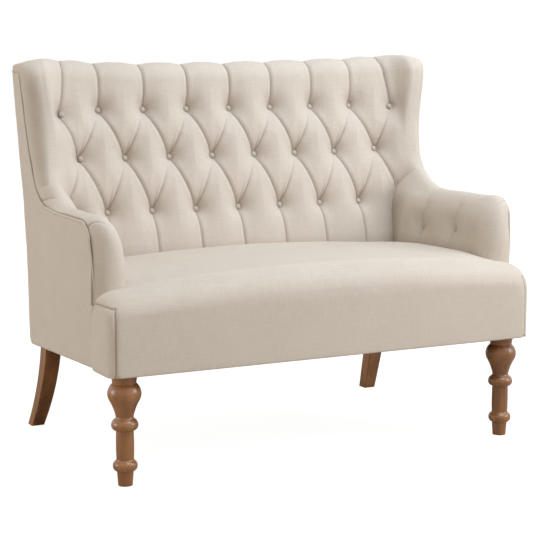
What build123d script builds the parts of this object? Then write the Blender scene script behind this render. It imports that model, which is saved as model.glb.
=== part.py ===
"""High back settee: a two-seat tight-upholstered settee with a deep-buttoned back, shallow wings and turned legs.

Millimetres. +Z is up, -Y is the front, +X is the sitter's left. The origin is on the floor under the middle of the
settee's length and depth. Right-hand side pieces (at +X) are modelled and mirrored for the other side.
"""

from build123d import *
import os
from math import cos, radians, sin, sqrt

os.makedirs("parts", exist_ok=True)

# ---------------------------------------------------------------- driving dimensions
overall_depth = 733.0  # seat front to the back of the rear feet
overall_height = 986.0  # floor to the top of the wings
leg_height = 264.0  # floor to the underside of the seat
fit = 0.3  # clearance between a soft piece and its neighbour

front_y = -overall_depth / 2
rear_foot_y = overall_depth / 2
arm_setback = 106.5  # how far the arms stand back from the seat front
foot_overhang = 91.5  # how far the rear feet reach behind the base of the back
back_lean = 45.0  # the outside back, from its base to its top
wing_reach = 89.0  # how far the wings come forward of the base of the back

# side skin: half widths of the outside of the covers, where the arm and the wing flare outwards
arm_front_y = front_y + arm_setback
back_base_y = rear_foot_y - foot_overhang
back_kink_z = 500.0
back_top_y = back_base_y + back_lean
base_half_front = 572.0
base_half_rear = 560.0
arm_half_front = 590.0
arm_half_rear = 566.0
arm_line_z = 620.0
wing_front_y = back_base_y - wing_reach
wing_half_front = 607.0
wing_half_rear = 578.0
wing_line_z = 975.0
panel_top_z = 948.0
arm_welt_z = 607.0  # the outside seam along the arm
panel_corner = 34.0  # rounded corners of the side panel
panel_corner_drop = 90.0
swoop_reach = 116.0  # where the arm's seam starts to rise to the wing
swoop_top_z = 704.0
swoop_top_step = 13.0  # the seam's steps forward of the wing, from the top of the swoop down
wing_waist_z = 780.0
wing_waist_step = 5.0
swoop_turn_z = 641.0
swoop_turn_step = 42.0
swoop_foot_rise = 5.0
swoop_foot_reach = 150.0
panel_corner_turn = (8.0, 30.0)

cover = 5.0  # outside cover: cloth over card and wadding
board = 18.0  # plywood side boards
post_width = 45.0
welt_width = 5.0
welt_proud = 1.5

# seat frame
dust_cover_thickness = 1.2
rail_height = 90.0
front_rail_thickness = 22.0
rear_rail_thickness = 22.0
front_padding = 20.0
brace_width = 25.0
brace_drop = 26.0
strap = 2.0
seat_strap_width = 50.0
seat_straps_long = 9
seat_straps_cross = 4
block_reach = 62.0
block_inset = 10.0

# seat cushion
ear_half = 586.0  # half width of the projecting front corners
ear_depth = arm_setback - 2.5  # how far the corners reach back from the seat front
seat_crown_z = 487.0
seat_edge_z = 456.0
seat_shoulder = 44.0
seat_roll = 56.0
seat_corner = 28.0

# arm pads
arm_inner_front = 505.0  # half width between the arms at the seat, at their front
arm_inner_rear = 470.0  # and at the back
arm_lean_front = 0.256  # how the inner face leans outwards above the seat
arm_lean_rear = 0.135
arm_lean_z = 465.0
arm_crest_z = 620.0
arm_front_padding = 17.0
arm_top_padding = 17.0
arm_round = 13.0
arm_button_z = 526.0
arm_button_places = (wing_front_y - 149.0, arm_front_y + 151.0)
arm_pleat_depth = 9.0
arm_pleat_reach = 24.0
arm_rise_y = wing_front_y - 191.0  # where the arm starts to rise to the wing
arm_inner_round = 14.0
arm_outer_round = 7.0
seam_front_y = wing_front_y - 89.0  # where the arm pad meets the wing pad on the crest
seam_front_z = 666.0
seam_foot_z = 498.0
wing_inner_half = 505.0
wing_top_reach = 42.0  # the wing's rounded top, seen from the side: where it starts and where it turns
wing_top_foot_z = 926.0
wing_top_turn = 20.0
wing_top_turn_z = 963.0
wing_shoulder = 4.0  # and from the front: where it leaves the outside, turns and reaches the top
wing_top_round = 15.0
wing_top_flat = 44.0

# inside back, in the raked plane of its buttons
rake = 12.6
button_plane_y = back_base_y - 78.0
button_plane_z = 724.0
button_pitch = 126.0
row_gap_upper = 128.0
row_gap_lower = 142.0
back_crown = 25.0
back_padding = 35.0  # buttons to the back of the pad
back_pad_bottom = -294.0
back_pad_top = 254.0
back_top_round = 24.0
back_flat_half = 400.0
back_end_rise = 27.0
top_hood = 17.0  # padding over the top rail
end_button_x = 488.0
end_button_rise = 36.0
end_shift_upper = -14.0
end_shift_lower = 24.0
end_pleat_top_x = 470.0
crease_reach = 46.0
button_radius = 9.3
button_edge = 2.5
button_dome = 5.5
button_sink = 1.0
button_room = 1.3
top_notch = 9.0
top_notch_reach = 18.0

# back frame
back_rail_height = 50.0
back_rail_thickness = 22.0
stile_width = 40.0
stile_place = 165.0
back_strap_width = 50.0
back_straps = 7

# front legs
front_leg_x = 530.0
front_leg_y = front_y + 51.5
foot_radius = 17.0
foot_top_radius = 19.6
shaft_radius = 20.5
lower_ring_z = 47.7
lower_ring_radius = 28.8
upper_ring_z = 144.4
upper_ring_radius = 31.5
vase_neck_z = 163.0
vase_z = 219.4
vase_radius = 39.5
vase_top_z = 241.0
vase_top_radius = 29.4
collar_neck = 28.2
collar_radius = 32.4

# rear legs
rear_leg_x = 507.0
rear_leg_y = back_base_y - 23.0
rear_leg_top = 44.0
rear_foot = 35.0
rear_foot_x = 522.0
rear_leg_bow = 40.0  # how far the curve leaves the straight line, times four, to the rear
rear_leg_splay = 26.0  # and to the side
leg_edge_round = 3.0

bolt_radius = 4.0
bolt_in_leg = 32.0
bolt_in_frame = 40.0
bolt_play = 0.1

# ---------------------------------------------------------------- derived sizes
rail_bottom = leg_height + dust_cover_thickness
rail_top = rail_bottom + rail_height
deck_z = rail_top + 2 * strap
front_rail_y = front_y + front_padding
side_rail_y = front_rail_y + front_rail_thickness
board_out = cover + board
post_in = board_out + post_width

slope = radians(rake)
rake_up = Vector(0, sin(slope), cos(slope))
rake_out = Vector(0, -cos(slope), sin(slope))
button_origin = Vector(0, button_plane_y, button_plane_z)


def raked(u, v, n):
    """A point of the raked back: u across, v up the back, n out of it towards the sitter."""
    return button_origin + Vector(u, 0, 0) + rake_up * v + rake_out * n


def raked_y(z, n):
    """How far back the raked plane that stands n in front of the buttons is, at height z."""
    v = (z - button_plane_z - n * sin(slope)) / cos(slope)
    return raked(0, v, n).Y


def section_plane(v):
    """Plane across the raked back at v, with x across and y to the rear."""
    return Plane(origin=raked(0, v, 0), x_dir=(1, 0, 0), z_dir=rake_up)


# ---------------------------------------------------------------- side skin
def skin_lines():
    """Height, then half width at y = 0 and its change per millimetre of y, of the side's outside surface."""
    lines = []
    for height, rear_half, front_half, rear, front in (
        (leg_height, base_half_rear, base_half_front, back_base_y, arm_front_y),
        (arm_line_z, arm_half_rear, arm_half_front, back_base_y, arm_front_y),
        (wing_line_z, wing_half_rear, wing_half_front, back_top_y, wing_front_y),
    ):
        change = (front_half - rear_half) / (front - rear)
        lines.append((height, rear_half - change * rear, change))
    return lines


def side_slab(outer, inner, reach=420):
    """The layer of the right side between two depths under its outside surface, over the full length and height."""
    with BuildPart() as slab:
        rows = skin_lines()
        low, mid, high = rows
        rise = (overall_height + 20 - high[0]) / (high[0] - mid[0])
        top = (overall_height + 20, high[1] + rise * (high[1] - mid[1]), high[2] + rise * (high[2] - mid[2]))
        for height, middle, change in (low, mid, top):
            front, rear = middle - change * reach, middle + change * reach
            with BuildSketch(Plane.XY.offset(height)):
                with BuildLine():
                    Polyline(
                        (front - outer, -reach),
                        (rear - outer, reach),
                        (rear - inner, reach),
                        (front - inner, -reach),
                        close=True,
                    )
                make_face()
        loft(ruled=True)
    return slab.part


def skin_x(y, z):
    """Half width of the side's outside surface at a point."""
    low, mid, high = skin_lines()
    below, above = (low, mid) if z < mid[0] else (mid, high)
    share = (z - below[0]) / (above[0] - below[0])
    middle = below[1] + share * (above[1] - below[1])
    change = below[2] + share * (above[2] - below[2])
    return middle + change * y


def rear_line(inset, z):
    """How far back the outside back is at a height, less an inset."""
    if z <= back_kink_z:
        return back_base_y - inset
    share = (z - back_kink_z) / (panel_top_z - back_kink_z)
    return back_base_y + share * (back_top_y - back_base_y) - inset


beyond_boards = side_slab(-200, board_out)
beyond_cover = side_slab(-200, cover)
beyond_posts = side_slab(-200, post_in)


def side_outline(grow=0.0):
    """Closed side outline of arm and wing along the outside seam, grown outwards at its top and front."""
    with BuildSketch(Plane.YZ) as outline:
        with BuildLine():
            Polyline(
                (arm_front_y - grow, leg_height),
                (back_base_y, leg_height),
                (back_base_y, back_kink_z),
                (rear_line(0, panel_top_z + grow), panel_top_z + grow),
                (wing_front_y + panel_corner, panel_top_z + grow),
            )
            ThreePointArc(
                (wing_front_y + panel_corner, panel_top_z + grow),
                (wing_front_y + panel_corner_turn[0] - grow * 0.8, panel_top_z - panel_corner_turn[1] + grow * 0.6),
                (wing_front_y - grow, panel_top_z - panel_corner_drop),
            )
            ThreePointArc(
                (wing_front_y - grow, panel_top_z - panel_corner_drop),
                (wing_front_y - wing_waist_step - grow, wing_waist_z),
                (wing_front_y - swoop_top_step - grow, swoop_top_z),
            )
            ThreePointArc(
                (wing_front_y - swoop_top_step - grow, swoop_top_z),
                (wing_front_y - swoop_turn_step - grow * 0.7, swoop_turn_z + grow * 0.7),
                (wing_front_y - swoop_reach, arm_welt_z + swoop_foot_rise + grow),
            )
            Polyline(
                (wing_front_y - swoop_reach, arm_welt_z + swoop_foot_rise + grow),
                (wing_front_y - swoop_foot_reach, arm_welt_z + grow),
                (arm_front_y + panel_corner, arm_welt_z + grow),
            )
            ThreePointArc(
                (arm_front_y + panel_corner, arm_welt_z + grow),
                (arm_front_y + 9 - grow * 0.7, arm_welt_z - 9 + grow * 0.7),
                (arm_front_y - grow, arm_welt_z - panel_corner),
            )
            Line((arm_front_y - grow, arm_welt_z - panel_corner), (arm_front_y - grow, leg_height))
        make_face()
    return outline.sketch


def save(part, name):
    part.label = name
    export_step(part, f"parts/{name}.step")


def save_pair(part, name):
    save(part, f"{name}_right")
    save(mirror(part, about=Plane.YZ), f"{name}_left")


# ---------------------------------------------------------------- front legs
leg_axis = Axis((front_leg_x, front_leg_y, 0), (0, 0, 1))
leg_plane = Plane(origin=(front_leg_x, front_leg_y, 0), x_dir=(1, 0, 0), z_dir=(0, -1, 0))

with BuildPart() as front_leg:
    with BuildSketch(leg_plane):
        with BuildLine():
            low_ring_foot = lower_ring_z - 13.5
            low_ring_top = lower_ring_z + 16
            high_ring_foot = upper_ring_z - 13.5
            Polyline(
                (shaft_radius - 0.4, low_ring_foot),
                (foot_top_radius, low_ring_foot),
                (foot_radius, 0),
                (0, 0),
                (0, leg_height),
                (collar_radius, leg_height),
                (collar_radius, leg_height - 2),
            )
            ThreePointArc(
                (shaft_radius - 0.4, low_ring_foot),
                (lower_ring_radius - 1.4, lower_ring_z - 7.4),
                (lower_ring_radius, lower_ring_z),
            )
            ThreePointArc(
                (lower_ring_radius, lower_ring_z),
                (lower_ring_radius - 1.4, lower_ring_z + 6.6),
                (shaft_radius + 2.6, lower_ring_z + 11),
            )
            ThreePointArc(
                (shaft_radius + 2.6, lower_ring_z + 11),
                (shaft_radius + 0.6, lower_ring_z + 13),
                (shaft_radius, low_ring_top),
            )
            ThreePointArc(
                (shaft_radius, low_ring_top),
                (shaft_radius + 0.6, (low_ring_top + high_ring_foot) / 2),
                (shaft_radius - 0.2, high_ring_foot),
            )
            ThreePointArc(
                (shaft_radius - 0.2, high_ring_foot),
                (upper_ring_radius - 2.0, upper_ring_z - 8),
                (upper_ring_radius, upper_ring_z),
            )
            ThreePointArc(
                (upper_ring_radius, upper_ring_z),
                (upper_ring_radius - 1.9, upper_ring_z + 7.4),
                (shaft_radius + 4, upper_ring_z + 13),
            )
            ThreePointArc(
                (shaft_radius + 4, upper_ring_z + 13),
                (shaft_radius + 1.3, upper_ring_z + 15.4),
                (shaft_radius, vase_neck_z),
            )
            ThreePointArc(
                (shaft_radius, vase_neck_z),
                (shaft_radius + 6.0, vase_neck_z + 20.5),
                (vase_radius - 4.9, vase_z - 18.4),
            )
            ThreePointArc(
                (vase_radius - 4.9, vase_z - 18.4),
                (vase_radius, vase_z),
                (vase_top_radius, vase_top_z),
            )
            Line((vase_top_radius, vase_top_z), (collar_neck, vase_top_z + 1.5))
            ThreePointArc(
                (collar_neck, vase_top_z + 1.5),
                (collar_neck + 1.1, vase_top_z + 11),
                (collar_radius, leg_height - 2),
            )
        make_face()
    revolve(axis=leg_axis)
    with BuildSketch(Plane.XY.offset(leg_height)):
        with Locations((front_leg_x, front_leg_y)):
            Circle(bolt_radius + bolt_play)
    extrude(amount=-bolt_in_leg, mode=Mode.SUBTRACT)

save_pair(front_leg.part, "front_leg")

# ---------------------------------------------------------------- rear legs
rear_leg_foot_y = rear_foot_y - rear_foot / 2
leg_stations = (0, 0.17, 0.34, 0.56, 0.78, 1)

with BuildPart() as rear_leg:
    for up in leg_stations:
        bow = up * (1 - up)
        across = rear_foot_x + (rear_leg_x - rear_foot_x) * up - rear_leg_splay * bow
        back = rear_leg_foot_y + (rear_leg_y - rear_leg_foot_y) * up - rear_leg_bow * bow
        side = rear_foot + (rear_leg_top - rear_foot) * up + 7 * bow
        with BuildSketch(Plane.XY.offset(up * leg_height)):
            with Locations((across, back)):
                RectangleRounded(side, side, leg_edge_round)
    loft()
    with BuildSketch(Plane.XY.offset(leg_height)):
        with Locations((rear_leg_x, rear_leg_y)):
            Circle(bolt_radius + bolt_play)
    extrude(amount=-bolt_in_leg, mode=Mode.SUBTRACT)

save_pair(rear_leg.part, "rear_leg")

bolt_places = [(side * x, y) for side in (1, -1) for x, y in ((front_leg_x, front_leg_y), (rear_leg_x, rear_leg_y))]

with BuildPart() as leg_bolts:
    with BuildSketch(Plane.XY.offset(leg_height - bolt_in_leg)):
        with Locations(*bolt_places):
            Circle(bolt_radius)
    extrude(amount=bolt_in_leg + bolt_in_frame)
    chamfer(leg_bolts.edges().group_by(Axis.Z)[-1], 1.2)

save(leg_bolts.part, "leg_bolts")


def drill_for_bolt(x, y):
    """Hole for a leg's bolt, cut into the piece being built."""
    with BuildSketch(Plane.XY.offset(leg_height)) as hole:
        with Locations((x, y)):
            Circle(bolt_radius + bolt_play)
    extrude(hole.sketch, amount=bolt_in_frame + 4, mode=Mode.SUBTRACT)


# ---------------------------------------------------------------- seat frame
back_foot = raked(0, back_pad_bottom, -back_padding)
post_front_y = back_foot.Y
hood_plane_point = raked(0, back_pad_top - top_hood, 0)


def hood_z(y):
    """Height of the underside of the padding over the top rail, at y."""
    return hood_plane_point.Z - (y - hood_plane_point.Y) * sin(slope) / cos(slope)


ear_inner = ear_half - front_padding
ear_back_y = front_y + ear_depth
rear_rail_y = back_base_y - cover - 40 - rear_rail_thickness


def box_between(low, high, mode=Mode.ADD):
    """A block between two corners, for the piece being built."""
    with BuildSketch(Plane.XY.offset(low[2])) as footprint:
        with Locations(((low[0] + high[0]) / 2, (low[1] + high[1]) / 2)):
            Rectangle(high[0] - low[0], high[1] - low[1])
    extrude(footprint.sketch, amount=high[2] - low[2], mode=mode)


def trim_sides(limit):
    """Takes what lies beyond a layer of the side skin off the piece being built, on both sides."""
    add(limit, mode=Mode.SUBTRACT)
    add(mirror(limit, about=Plane.YZ), mode=Mode.SUBTRACT)


with BuildPart() as front_rail:
    box_between(
        (-ear_inner, front_rail_y, rail_bottom),
        (ear_inner, side_rail_y, rail_top),
    )
save(front_rail.part, "front_rail")

with BuildPart() as rear_rail:
    box_between(
        (-base_half_front, rear_rail_y, rail_bottom),
        (base_half_front, rear_rail_y + rear_rail_thickness, rail_top),
    )
    trim_sides(beyond_posts)
save(rear_rail.part, "rear_rail")

with BuildPart() as side_rail:
    add(side_slab(board_out, post_in))
    with BuildSketch(Plane.YZ):
        with Locations(((side_rail_y + post_front_y) / 2, (rail_bottom + rail_top) / 2)):
            Rectangle(post_front_y - side_rail_y, rail_height)
    extrude(amount=overall_height, mode=Mode.INTERSECT)
    drill_for_bolt(front_leg_x, front_leg_y)
save_pair(side_rail.part, "side_rail")

with BuildPart() as ear_blocks:
    add(side_slab(-100, board_out))
    box_between(
        (0, side_rail_y, rail_bottom),
        (ear_inner, ear_back_y - fit, rail_top),
        mode=Mode.INTERSECT,
    )
    mirror(about=Plane.YZ)
save(ear_blocks.part, "ear_blocks")

with BuildPart() as seat_brace:
    box_between(
        (-brace_width / 2, side_rail_y, rail_bottom),
        (brace_width / 2, rear_rail_y, rail_top - brace_drop),
    )
save(seat_brace.part, "seat_brace")

with BuildPart() as corner_blocks:
    for y, way in ((side_rail_y, 1), (rear_rail_y, -1)):
        inner = skin_x(y, rail_bottom) - post_in
        with BuildSketch(Plane.XY.offset(rail_bottom + block_inset)):
            with BuildLine():
                Polyline(
                    (inner + 12, y),
                    (inner + 12, y + way * (block_reach + 12)),
                    (inner - block_reach, y),
                    close=True,
                )
            make_face()
        extrude(amount=rail_height - 2 * block_inset)
    add(beyond_posts, mode=Mode.SUBTRACT)
    mirror(about=Plane.YZ)
save(corner_blocks.part, "corner_blocks")

# ---------------------------------------------------------------- back frame
with BuildPart() as back_post:
    add(side_slab(board_out, post_in))
    with BuildSketch(Plane.YZ):
        with BuildLine():
            post_head = raked(0, back_pad_top - top_hood, -back_padding)
            post_rear_top = panel_top_z - 20
            rear_head = rear_line(cover, post_rear_top)
            Polyline(
                (post_front_y, rail_bottom),
                (back_base_y - cover, rail_bottom),
                (back_base_y - cover, back_kink_z),
                (rear_head, post_rear_top),
                (rear_head, hood_z(rear_head)),
                (post_head.Y, post_head.Z),
                (back_foot.Y, back_foot.Z),
                close=True,
            )
        make_face()
    extrude(amount=overall_height, mode=Mode.INTERSECT)
    drill_for_bolt(rear_leg_x, rear_leg_y)
save_pair(back_post.part, "back_post")

back_rail_front = back_padding + strap


def back_rail(bottom):
    """A rail across the back between the posts, its lower edge at the given place up the rake."""
    with BuildPart() as rail:
        with BuildSketch(section_plane(bottom)):
            with Locations((0, back_rail_front + back_rail_thickness / 2)):
                Rectangle(2 * base_half_front, back_rail_thickness)
        extrude(amount=back_rail_height)
        trim_sides(beyond_posts)
    return rail.part


top_rail_bottom = back_pad_top - top_hood - back_rail_height
save(back_rail(top_rail_bottom), "back_top_rail")
save(back_rail(back_pad_bottom), "back_bottom_rail")

with BuildPart() as back_stiles:
    stile_bottom = back_pad_bottom + back_rail_height
    with BuildSketch(section_plane(stile_bottom)):
        with Locations(
            (-stile_place, back_rail_front + back_rail_thickness / 2),
            (stile_place, back_rail_front + back_rail_thickness / 2),
        ):
            Rectangle(stile_width, back_rail_thickness)
    extrude(amount=top_rail_bottom - stile_bottom)
save(back_stiles.part, "back_stiles")

with BuildPart() as back_webbing:
    with BuildSketch(section_plane(back_pad_bottom)):
        with Locations((0, back_padding + strap / 2)):
            with GridLocations(2 * (arm_inner_rear - back_strap_width) / back_straps, 0, back_straps, 1):
                Rectangle(back_strap_width, strap)
    extrude(amount=back_pad_top - top_hood - back_pad_bottom)
save(back_webbing.part, "back_webbing")

# ---------------------------------------------------------------- seat webbing
strap_end_x = skin_x(0, rail_top) - post_in + 30

with BuildPart() as seat_webbing_long:
    reach = rear_rail_y + rear_rail_thickness - front_rail_y
    with BuildSketch(Plane.XY.offset(rail_top)):
        with Locations((0, front_rail_y + reach / 2)):
            with GridLocations(2 * (arm_inner_rear - 10) / seat_straps_long, 0, seat_straps_long, 1):
                Rectangle(seat_strap_width, reach)
    extrude(amount=strap)
save(seat_webbing_long.part, "seat_webbing_long")

with BuildPart() as seat_webbing_cross:
    span = post_front_y - side_rail_y
    with BuildSketch(Plane.XY.offset(rail_top + strap)):
        with Locations((0, side_rail_y + span / 2)):
            with GridLocations(0, span / seat_straps_cross, 1, seat_straps_cross):
                Rectangle(2 * strap_end_x, seat_strap_width)
    extrude(amount=strap)
save(seat_webbing_cross.part, "seat_webbing_cross")

# ---------------------------------------------------------------- side boards
with BuildPart() as arm_board:
    add(side_slab(cover, board_out))
    with BuildSketch(Plane.YZ):
        with BuildLine():
            arm_board_front = arm_front_y + arm_front_padding
            arm_board_top = arm_welt_z - arm_top_padding
            Polyline(
                (arm_board_front, rail_bottom),
                (back_base_y - cover, rail_bottom),
                (back_base_y - cover, back_kink_z),
                (rear_line(cover, arm_board_top), arm_board_top),
                (arm_board_front + arm_round, arm_board_top),
            )
            RadiusArc(
                (arm_board_front + arm_round, arm_board_top),
                (arm_board_front, arm_board_top - arm_round),
                -arm_round,
            )
            Line((arm_board_front, arm_board_top - arm_round), (arm_board_front, rail_bottom))
        make_face()
    extrude(amount=overall_height, mode=Mode.INTERSECT)
save_pair(arm_board.part, "arm_board")

wing_board_top = panel_top_z - 12
wing_board_front = wing_front_y + 22
wing_board_foot = (wing_board_front - 85, arm_board_top)
wing_board_hook = (wing_board_front - 22, arm_board_top + 42)
wing_board_neck = (wing_board_front + 6, arm_board_top + 110)
wing_board_brow = (wing_board_front, wing_board_top - 60)
wing_board_corner = (wing_board_front + 30, wing_board_top)

with BuildPart() as wing_board:
    add(side_slab(cover, board_out))
    with BuildSketch(Plane.YZ):
        with BuildLine():
            Polyline(
                wing_board_foot,
                (rear_line(cover, arm_board_top), arm_board_top),
                (rear_line(cover, wing_board_top), wing_board_top),
                wing_board_corner,
            )
            ThreePointArc(wing_board_corner, (wing_board_front + 8, wing_board_top - 18), wing_board_brow)
            Line(wing_board_brow, wing_board_neck)
            ThreePointArc(wing_board_neck, wing_board_hook, wing_board_foot)
        make_face()
    extrude(amount=overall_height, mode=Mode.INTERSECT)
save_pair(wing_board.part, "wing_board")

# ---------------------------------------------------------------- outside covers, welts and dust cover
with BuildPart() as outside_arm:
    add(side_slab(0, cover))
    extrude(side_outline(), amount=overall_height, mode=Mode.INTERSECT)
save_pair(outside_arm.part, "outside_arm_cover")

with BuildPart() as welt:
    add(side_slab(-welt_proud, cover))
    extrude(side_outline(welt_width), amount=overall_height, mode=Mode.INTERSECT)
    extrude(side_outline(), amount=overall_height, mode=Mode.SUBTRACT)
save_pair(welt.part, "welt")

with BuildPart() as outside_back:
    with BuildSketch(Plane.YZ):
        with BuildLine():
            Polyline(
                (back_base_y, leg_height),
                (back_base_y, back_kink_z),
                (rear_line(0, panel_top_z), panel_top_z),
                (rear_line(cover, panel_top_z), panel_top_z),
                (rear_line(cover, back_kink_z), back_kink_z),
                (back_base_y - cover, leg_height),
                close=True,
            )
        make_face()
    extrude(amount=wing_half_front + 40, both=True)
    trim_sides(beyond_cover)
save(outside_back.part, "outside_back_cover")

with BuildPart() as dust_cover:
    box_between(
        (-ear_inner, front_rail_y, leg_height),
        (ear_inner, back_base_y - cover, rail_bottom),
    )
    trim_sides(beyond_cover)
    with BuildSketch(Plane.XY.offset(leg_height)):
        with Locations(*bolt_places):
            Circle(bolt_radius + 1)
    extrude(amount=dust_cover_thickness, mode=Mode.SUBTRACT)
save(dust_cover.part, "dust_cover")

# ---------------------------------------------------------------- arm pads
def crease_groove(start, end, face, depth, half):
    """Cuts a sewn crease from start to end: two round pillow sides that meet in a sharp line."""
    along = (end - start).normalized()
    plane = Plane(origin=start, x_dir=face.cross(along), z_dir=along)
    with BuildSketch(plane) as profile:
        with BuildLine():
            ThreePointArc((0, 0), (0.4 * half, 0.72 * depth), (half, depth))
            Polyline((half, depth), (half, 3 * depth), (-half, 3 * depth), (-half, depth))
            ThreePointArc((-half, depth), (-0.4 * half, 0.72 * depth), (0, 0))
        make_face()
    extrude(profile.sketch, amount=(end - start).length, dir=along, mode=Mode.SUBTRACT)


arm_pad_bottom = deck_z + fit


def arm_section(y, inner, lean):
    """Cross-section of the arm pad at y, wider and higher than the arm, which later cuts trim."""
    with BuildSketch(Plane(origin=(0, y, 0), x_dir=(1, 0, 0), z_dir=(0, -1, 0))) as section:
        with BuildLine():
            Polyline(
                (inner, arm_pad_bottom),
                (inner, arm_lean_z),
                (inner + lean * (seam_front_z + 40 - arm_lean_z), seam_front_z + 40),
                (arm_half_front + 60, seam_front_z + 40),
                (arm_half_front + 60, arm_pad_bottom),
                close=True,
            )
        make_face()
    return section.sketch


with BuildPart() as arm_form:
    add(arm_section(arm_front_y, arm_inner_front, arm_lean_front))
    add(arm_section(post_front_y, arm_inner_rear, arm_lean_rear))
    loft(ruled=True)
    with BuildSketch(Plane.YZ) as arm_outline:
        with BuildLine():
            Polyline(
                (arm_front_y, arm_crest_z),
                (arm_front_y, arm_pad_bottom),
                (post_front_y - fit, arm_pad_bottom),
                (post_front_y - fit, seam_foot_z),
                (seam_front_y, seam_front_z),
            )
            TangentArc(
                (arm_rise_y, arm_crest_z),
                (seam_front_y, seam_front_z),
                tangent=(1, 0),
            )
            Line((arm_rise_y, arm_crest_z), (arm_front_y, arm_crest_z))
        make_face()
    extrude(arm_outline.sketch, amount=overall_height, mode=Mode.INTERSECT)
    add(beyond_cover, mode=Mode.SUBTRACT)
    front_face = arm_form.faces().sort_by(Axis.Y)[0]
    fillet(front_face.edges().filter_by(Axis.Z, reverse=True).sort_by(Axis.Z)[-1], arm_round)

pocket_top = arm_welt_z - arm_top_padding
pocket_ease = 2.0  # room round the curved front of the wing board
with BuildPart() as board_room:
    add(side_slab(-100, board_out + fit))
    with BuildSketch(Plane.YZ) as board_outline:
        with BuildLine():
            Polyline(
                (arm_board_front - fit, 0),
                (arm_board_front - fit, pocket_top + fit),
                (wing_board_foot[0] - pocket_ease, pocket_top + fit),
                (wing_board_hook[0] - pocket_ease, wing_board_hook[1] + fit),
                (wing_board_neck[0] - pocket_ease, wing_board_neck[1]),
                (wing_board_brow[0] - fit, wing_board_brow[1]),
                (wing_board_front - fit, wing_board_top + fit),
                (overall_depth, wing_board_top + fit),
                (overall_depth, 0),
                close=True,
            )
        make_face()
    extrude(board_outline.sketch, amount=overall_height, mode=Mode.INTERSECT)



def arm_face(y, z, deep=0.0):
    """Point on the arm's inner face, or the given depth under it."""
    share = (y - arm_front_y) / (post_front_y - arm_front_y)
    foot = arm_inner_front + share * (arm_inner_rear - arm_inner_front)
    lean = arm_lean_front + share * (arm_lean_rear - arm_lean_front)
    return Vector(foot + lean * (z - arm_lean_z) + deep, y, z)


arm_out = (arm_face(0, arm_crest_z) - arm_face(0, arm_lean_z)).cross(
    arm_face(arm_front_y, arm_button_z) - arm_face(post_front_y, arm_button_z)
)
arm_out = arm_out.normalized() * (-1 if arm_out.X > 0 else 1)
arm_buttons_at = [arm_face(y, arm_button_z, arm_pleat_depth) for y in arm_button_places]

with BuildPart() as arm_pad:
    add(arm_form.part)
    along_arm = arm_pad.edges().filter_by(Axis.X, reverse=True)
    fillet(
        [
            edge
            for edge in along_arm
            if edge.center().X < arm_half_front - 40
            and edge.center().Y < seam_front_y
            and edge.center().Z > arm_pad_bottom + 1
            and (edge.center().Z > arm_welt_z or edge.center().Y < arm_front_y + 1)
        ],
        arm_inner_round,
    )
    along_arm = arm_pad.edges().filter_by(Axis.X, reverse=True)
    fillet(
        [
            edge
            for edge in along_arm
            if edge.center().X > arm_half_front - 25
            and edge.center().Y < arm_rise_y
            and edge.center().Z > arm_welt_z
        ],
        arm_outer_round,
    )
    for place in arm_buttons_at:
        pleat_head = arm_face(place.Y, arm_crest_z + 40, arm_pleat_depth)
        pleat_foot = arm_face(place.Y, arm_pad_bottom - 20, arm_pleat_depth)
        crease_groove(place, pleat_head, arm_out, arm_pleat_depth, arm_pleat_reach)
        crease_groove(place, pleat_foot, arm_out, arm_pleat_depth, arm_pleat_reach)
        with BuildSketch(Plane(origin=place + arm_out * button_sink, x_dir=(0, 1, 0), z_dir=arm_out)):
            Circle(button_radius + button_room)
        extrude(amount=4 * arm_pleat_depth, mode=Mode.SUBTRACT)
    add(board_room.part, mode=Mode.SUBTRACT)
save_pair(arm_pad.part, "arm_pad")

# ---------------------------------------------------------------- inside back
rear_reach = 130.0


def back_section(v, inset=0.0):
    """Plan section of the inside back across the rake: flat in the middle, drawn forward to the wings."""
    half = wing_inner_half - fit
    middle = inset - back_crown
    with BuildSketch(section_plane(v)) as section:
        with BuildLine():
            Line((-back_flat_half, middle), (back_flat_half, middle))
            ThreePointArc(
                (back_flat_half, middle),
                ((back_flat_half + half) / 2, middle - 0.36 * back_end_rise),
                (half, middle - back_end_rise),
            )
            Polyline(
                (half, middle - back_end_rise),
                (half, rear_reach),
                (-half, rear_reach),
                (-half, middle - back_end_rise),
            )
            ThreePointArc(
                (-half, middle - back_end_rise),
                (-(back_flat_half + half) / 2, middle - 0.36 * back_end_rise),
                (-back_flat_half, middle),
            )
        make_face()
    return section.sketch


def behind_back():
    """Everything behind the inner face of the outside back."""
    with BuildPart() as region:
        with BuildSketch(Plane.YZ):
            with BuildLine():
                Polyline(
                    (back_base_y - cover, 0),
                    (back_base_y - cover, back_kink_z),
                    (rear_line(cover, overall_height + 40), overall_height + 40),
                    (overall_depth, overall_height + 40),
                    (overall_depth, 0),
                    close=True,
                )
            make_face()
        extrude(amount=wing_half_front + 60, both=True)
    return region.part


rear_region = behind_back()

with BuildPart() as frame_room:
    with BuildSketch(section_plane(back_pad_bottom - 40)):
        with Locations((0, back_padding + rear_reach / 2)):
            Rectangle(2 * wing_half_front + 80, rear_reach)
    extrude(amount=back_pad_top - top_hood - back_pad_bottom + 40)

with BuildPart() as back_form:
    add(back_section(back_pad_bottom))
    for turn in (0, 30, 60, 90):
        up = back_pad_top - back_top_round + back_top_round * sin(radians(turn))
        add(back_section(up, back_top_round * (1 - cos(radians(turn)))))
    loft(ruled=True)
    add(frame_room.part, mode=Mode.SUBTRACT)
    add(rear_region, mode=Mode.SUBTRACT)
    add(arm_form.part, mode=Mode.SUBTRACT)
    add(mirror(arm_form.part, about=Plane.YZ), mode=Mode.SUBTRACT)

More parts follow.
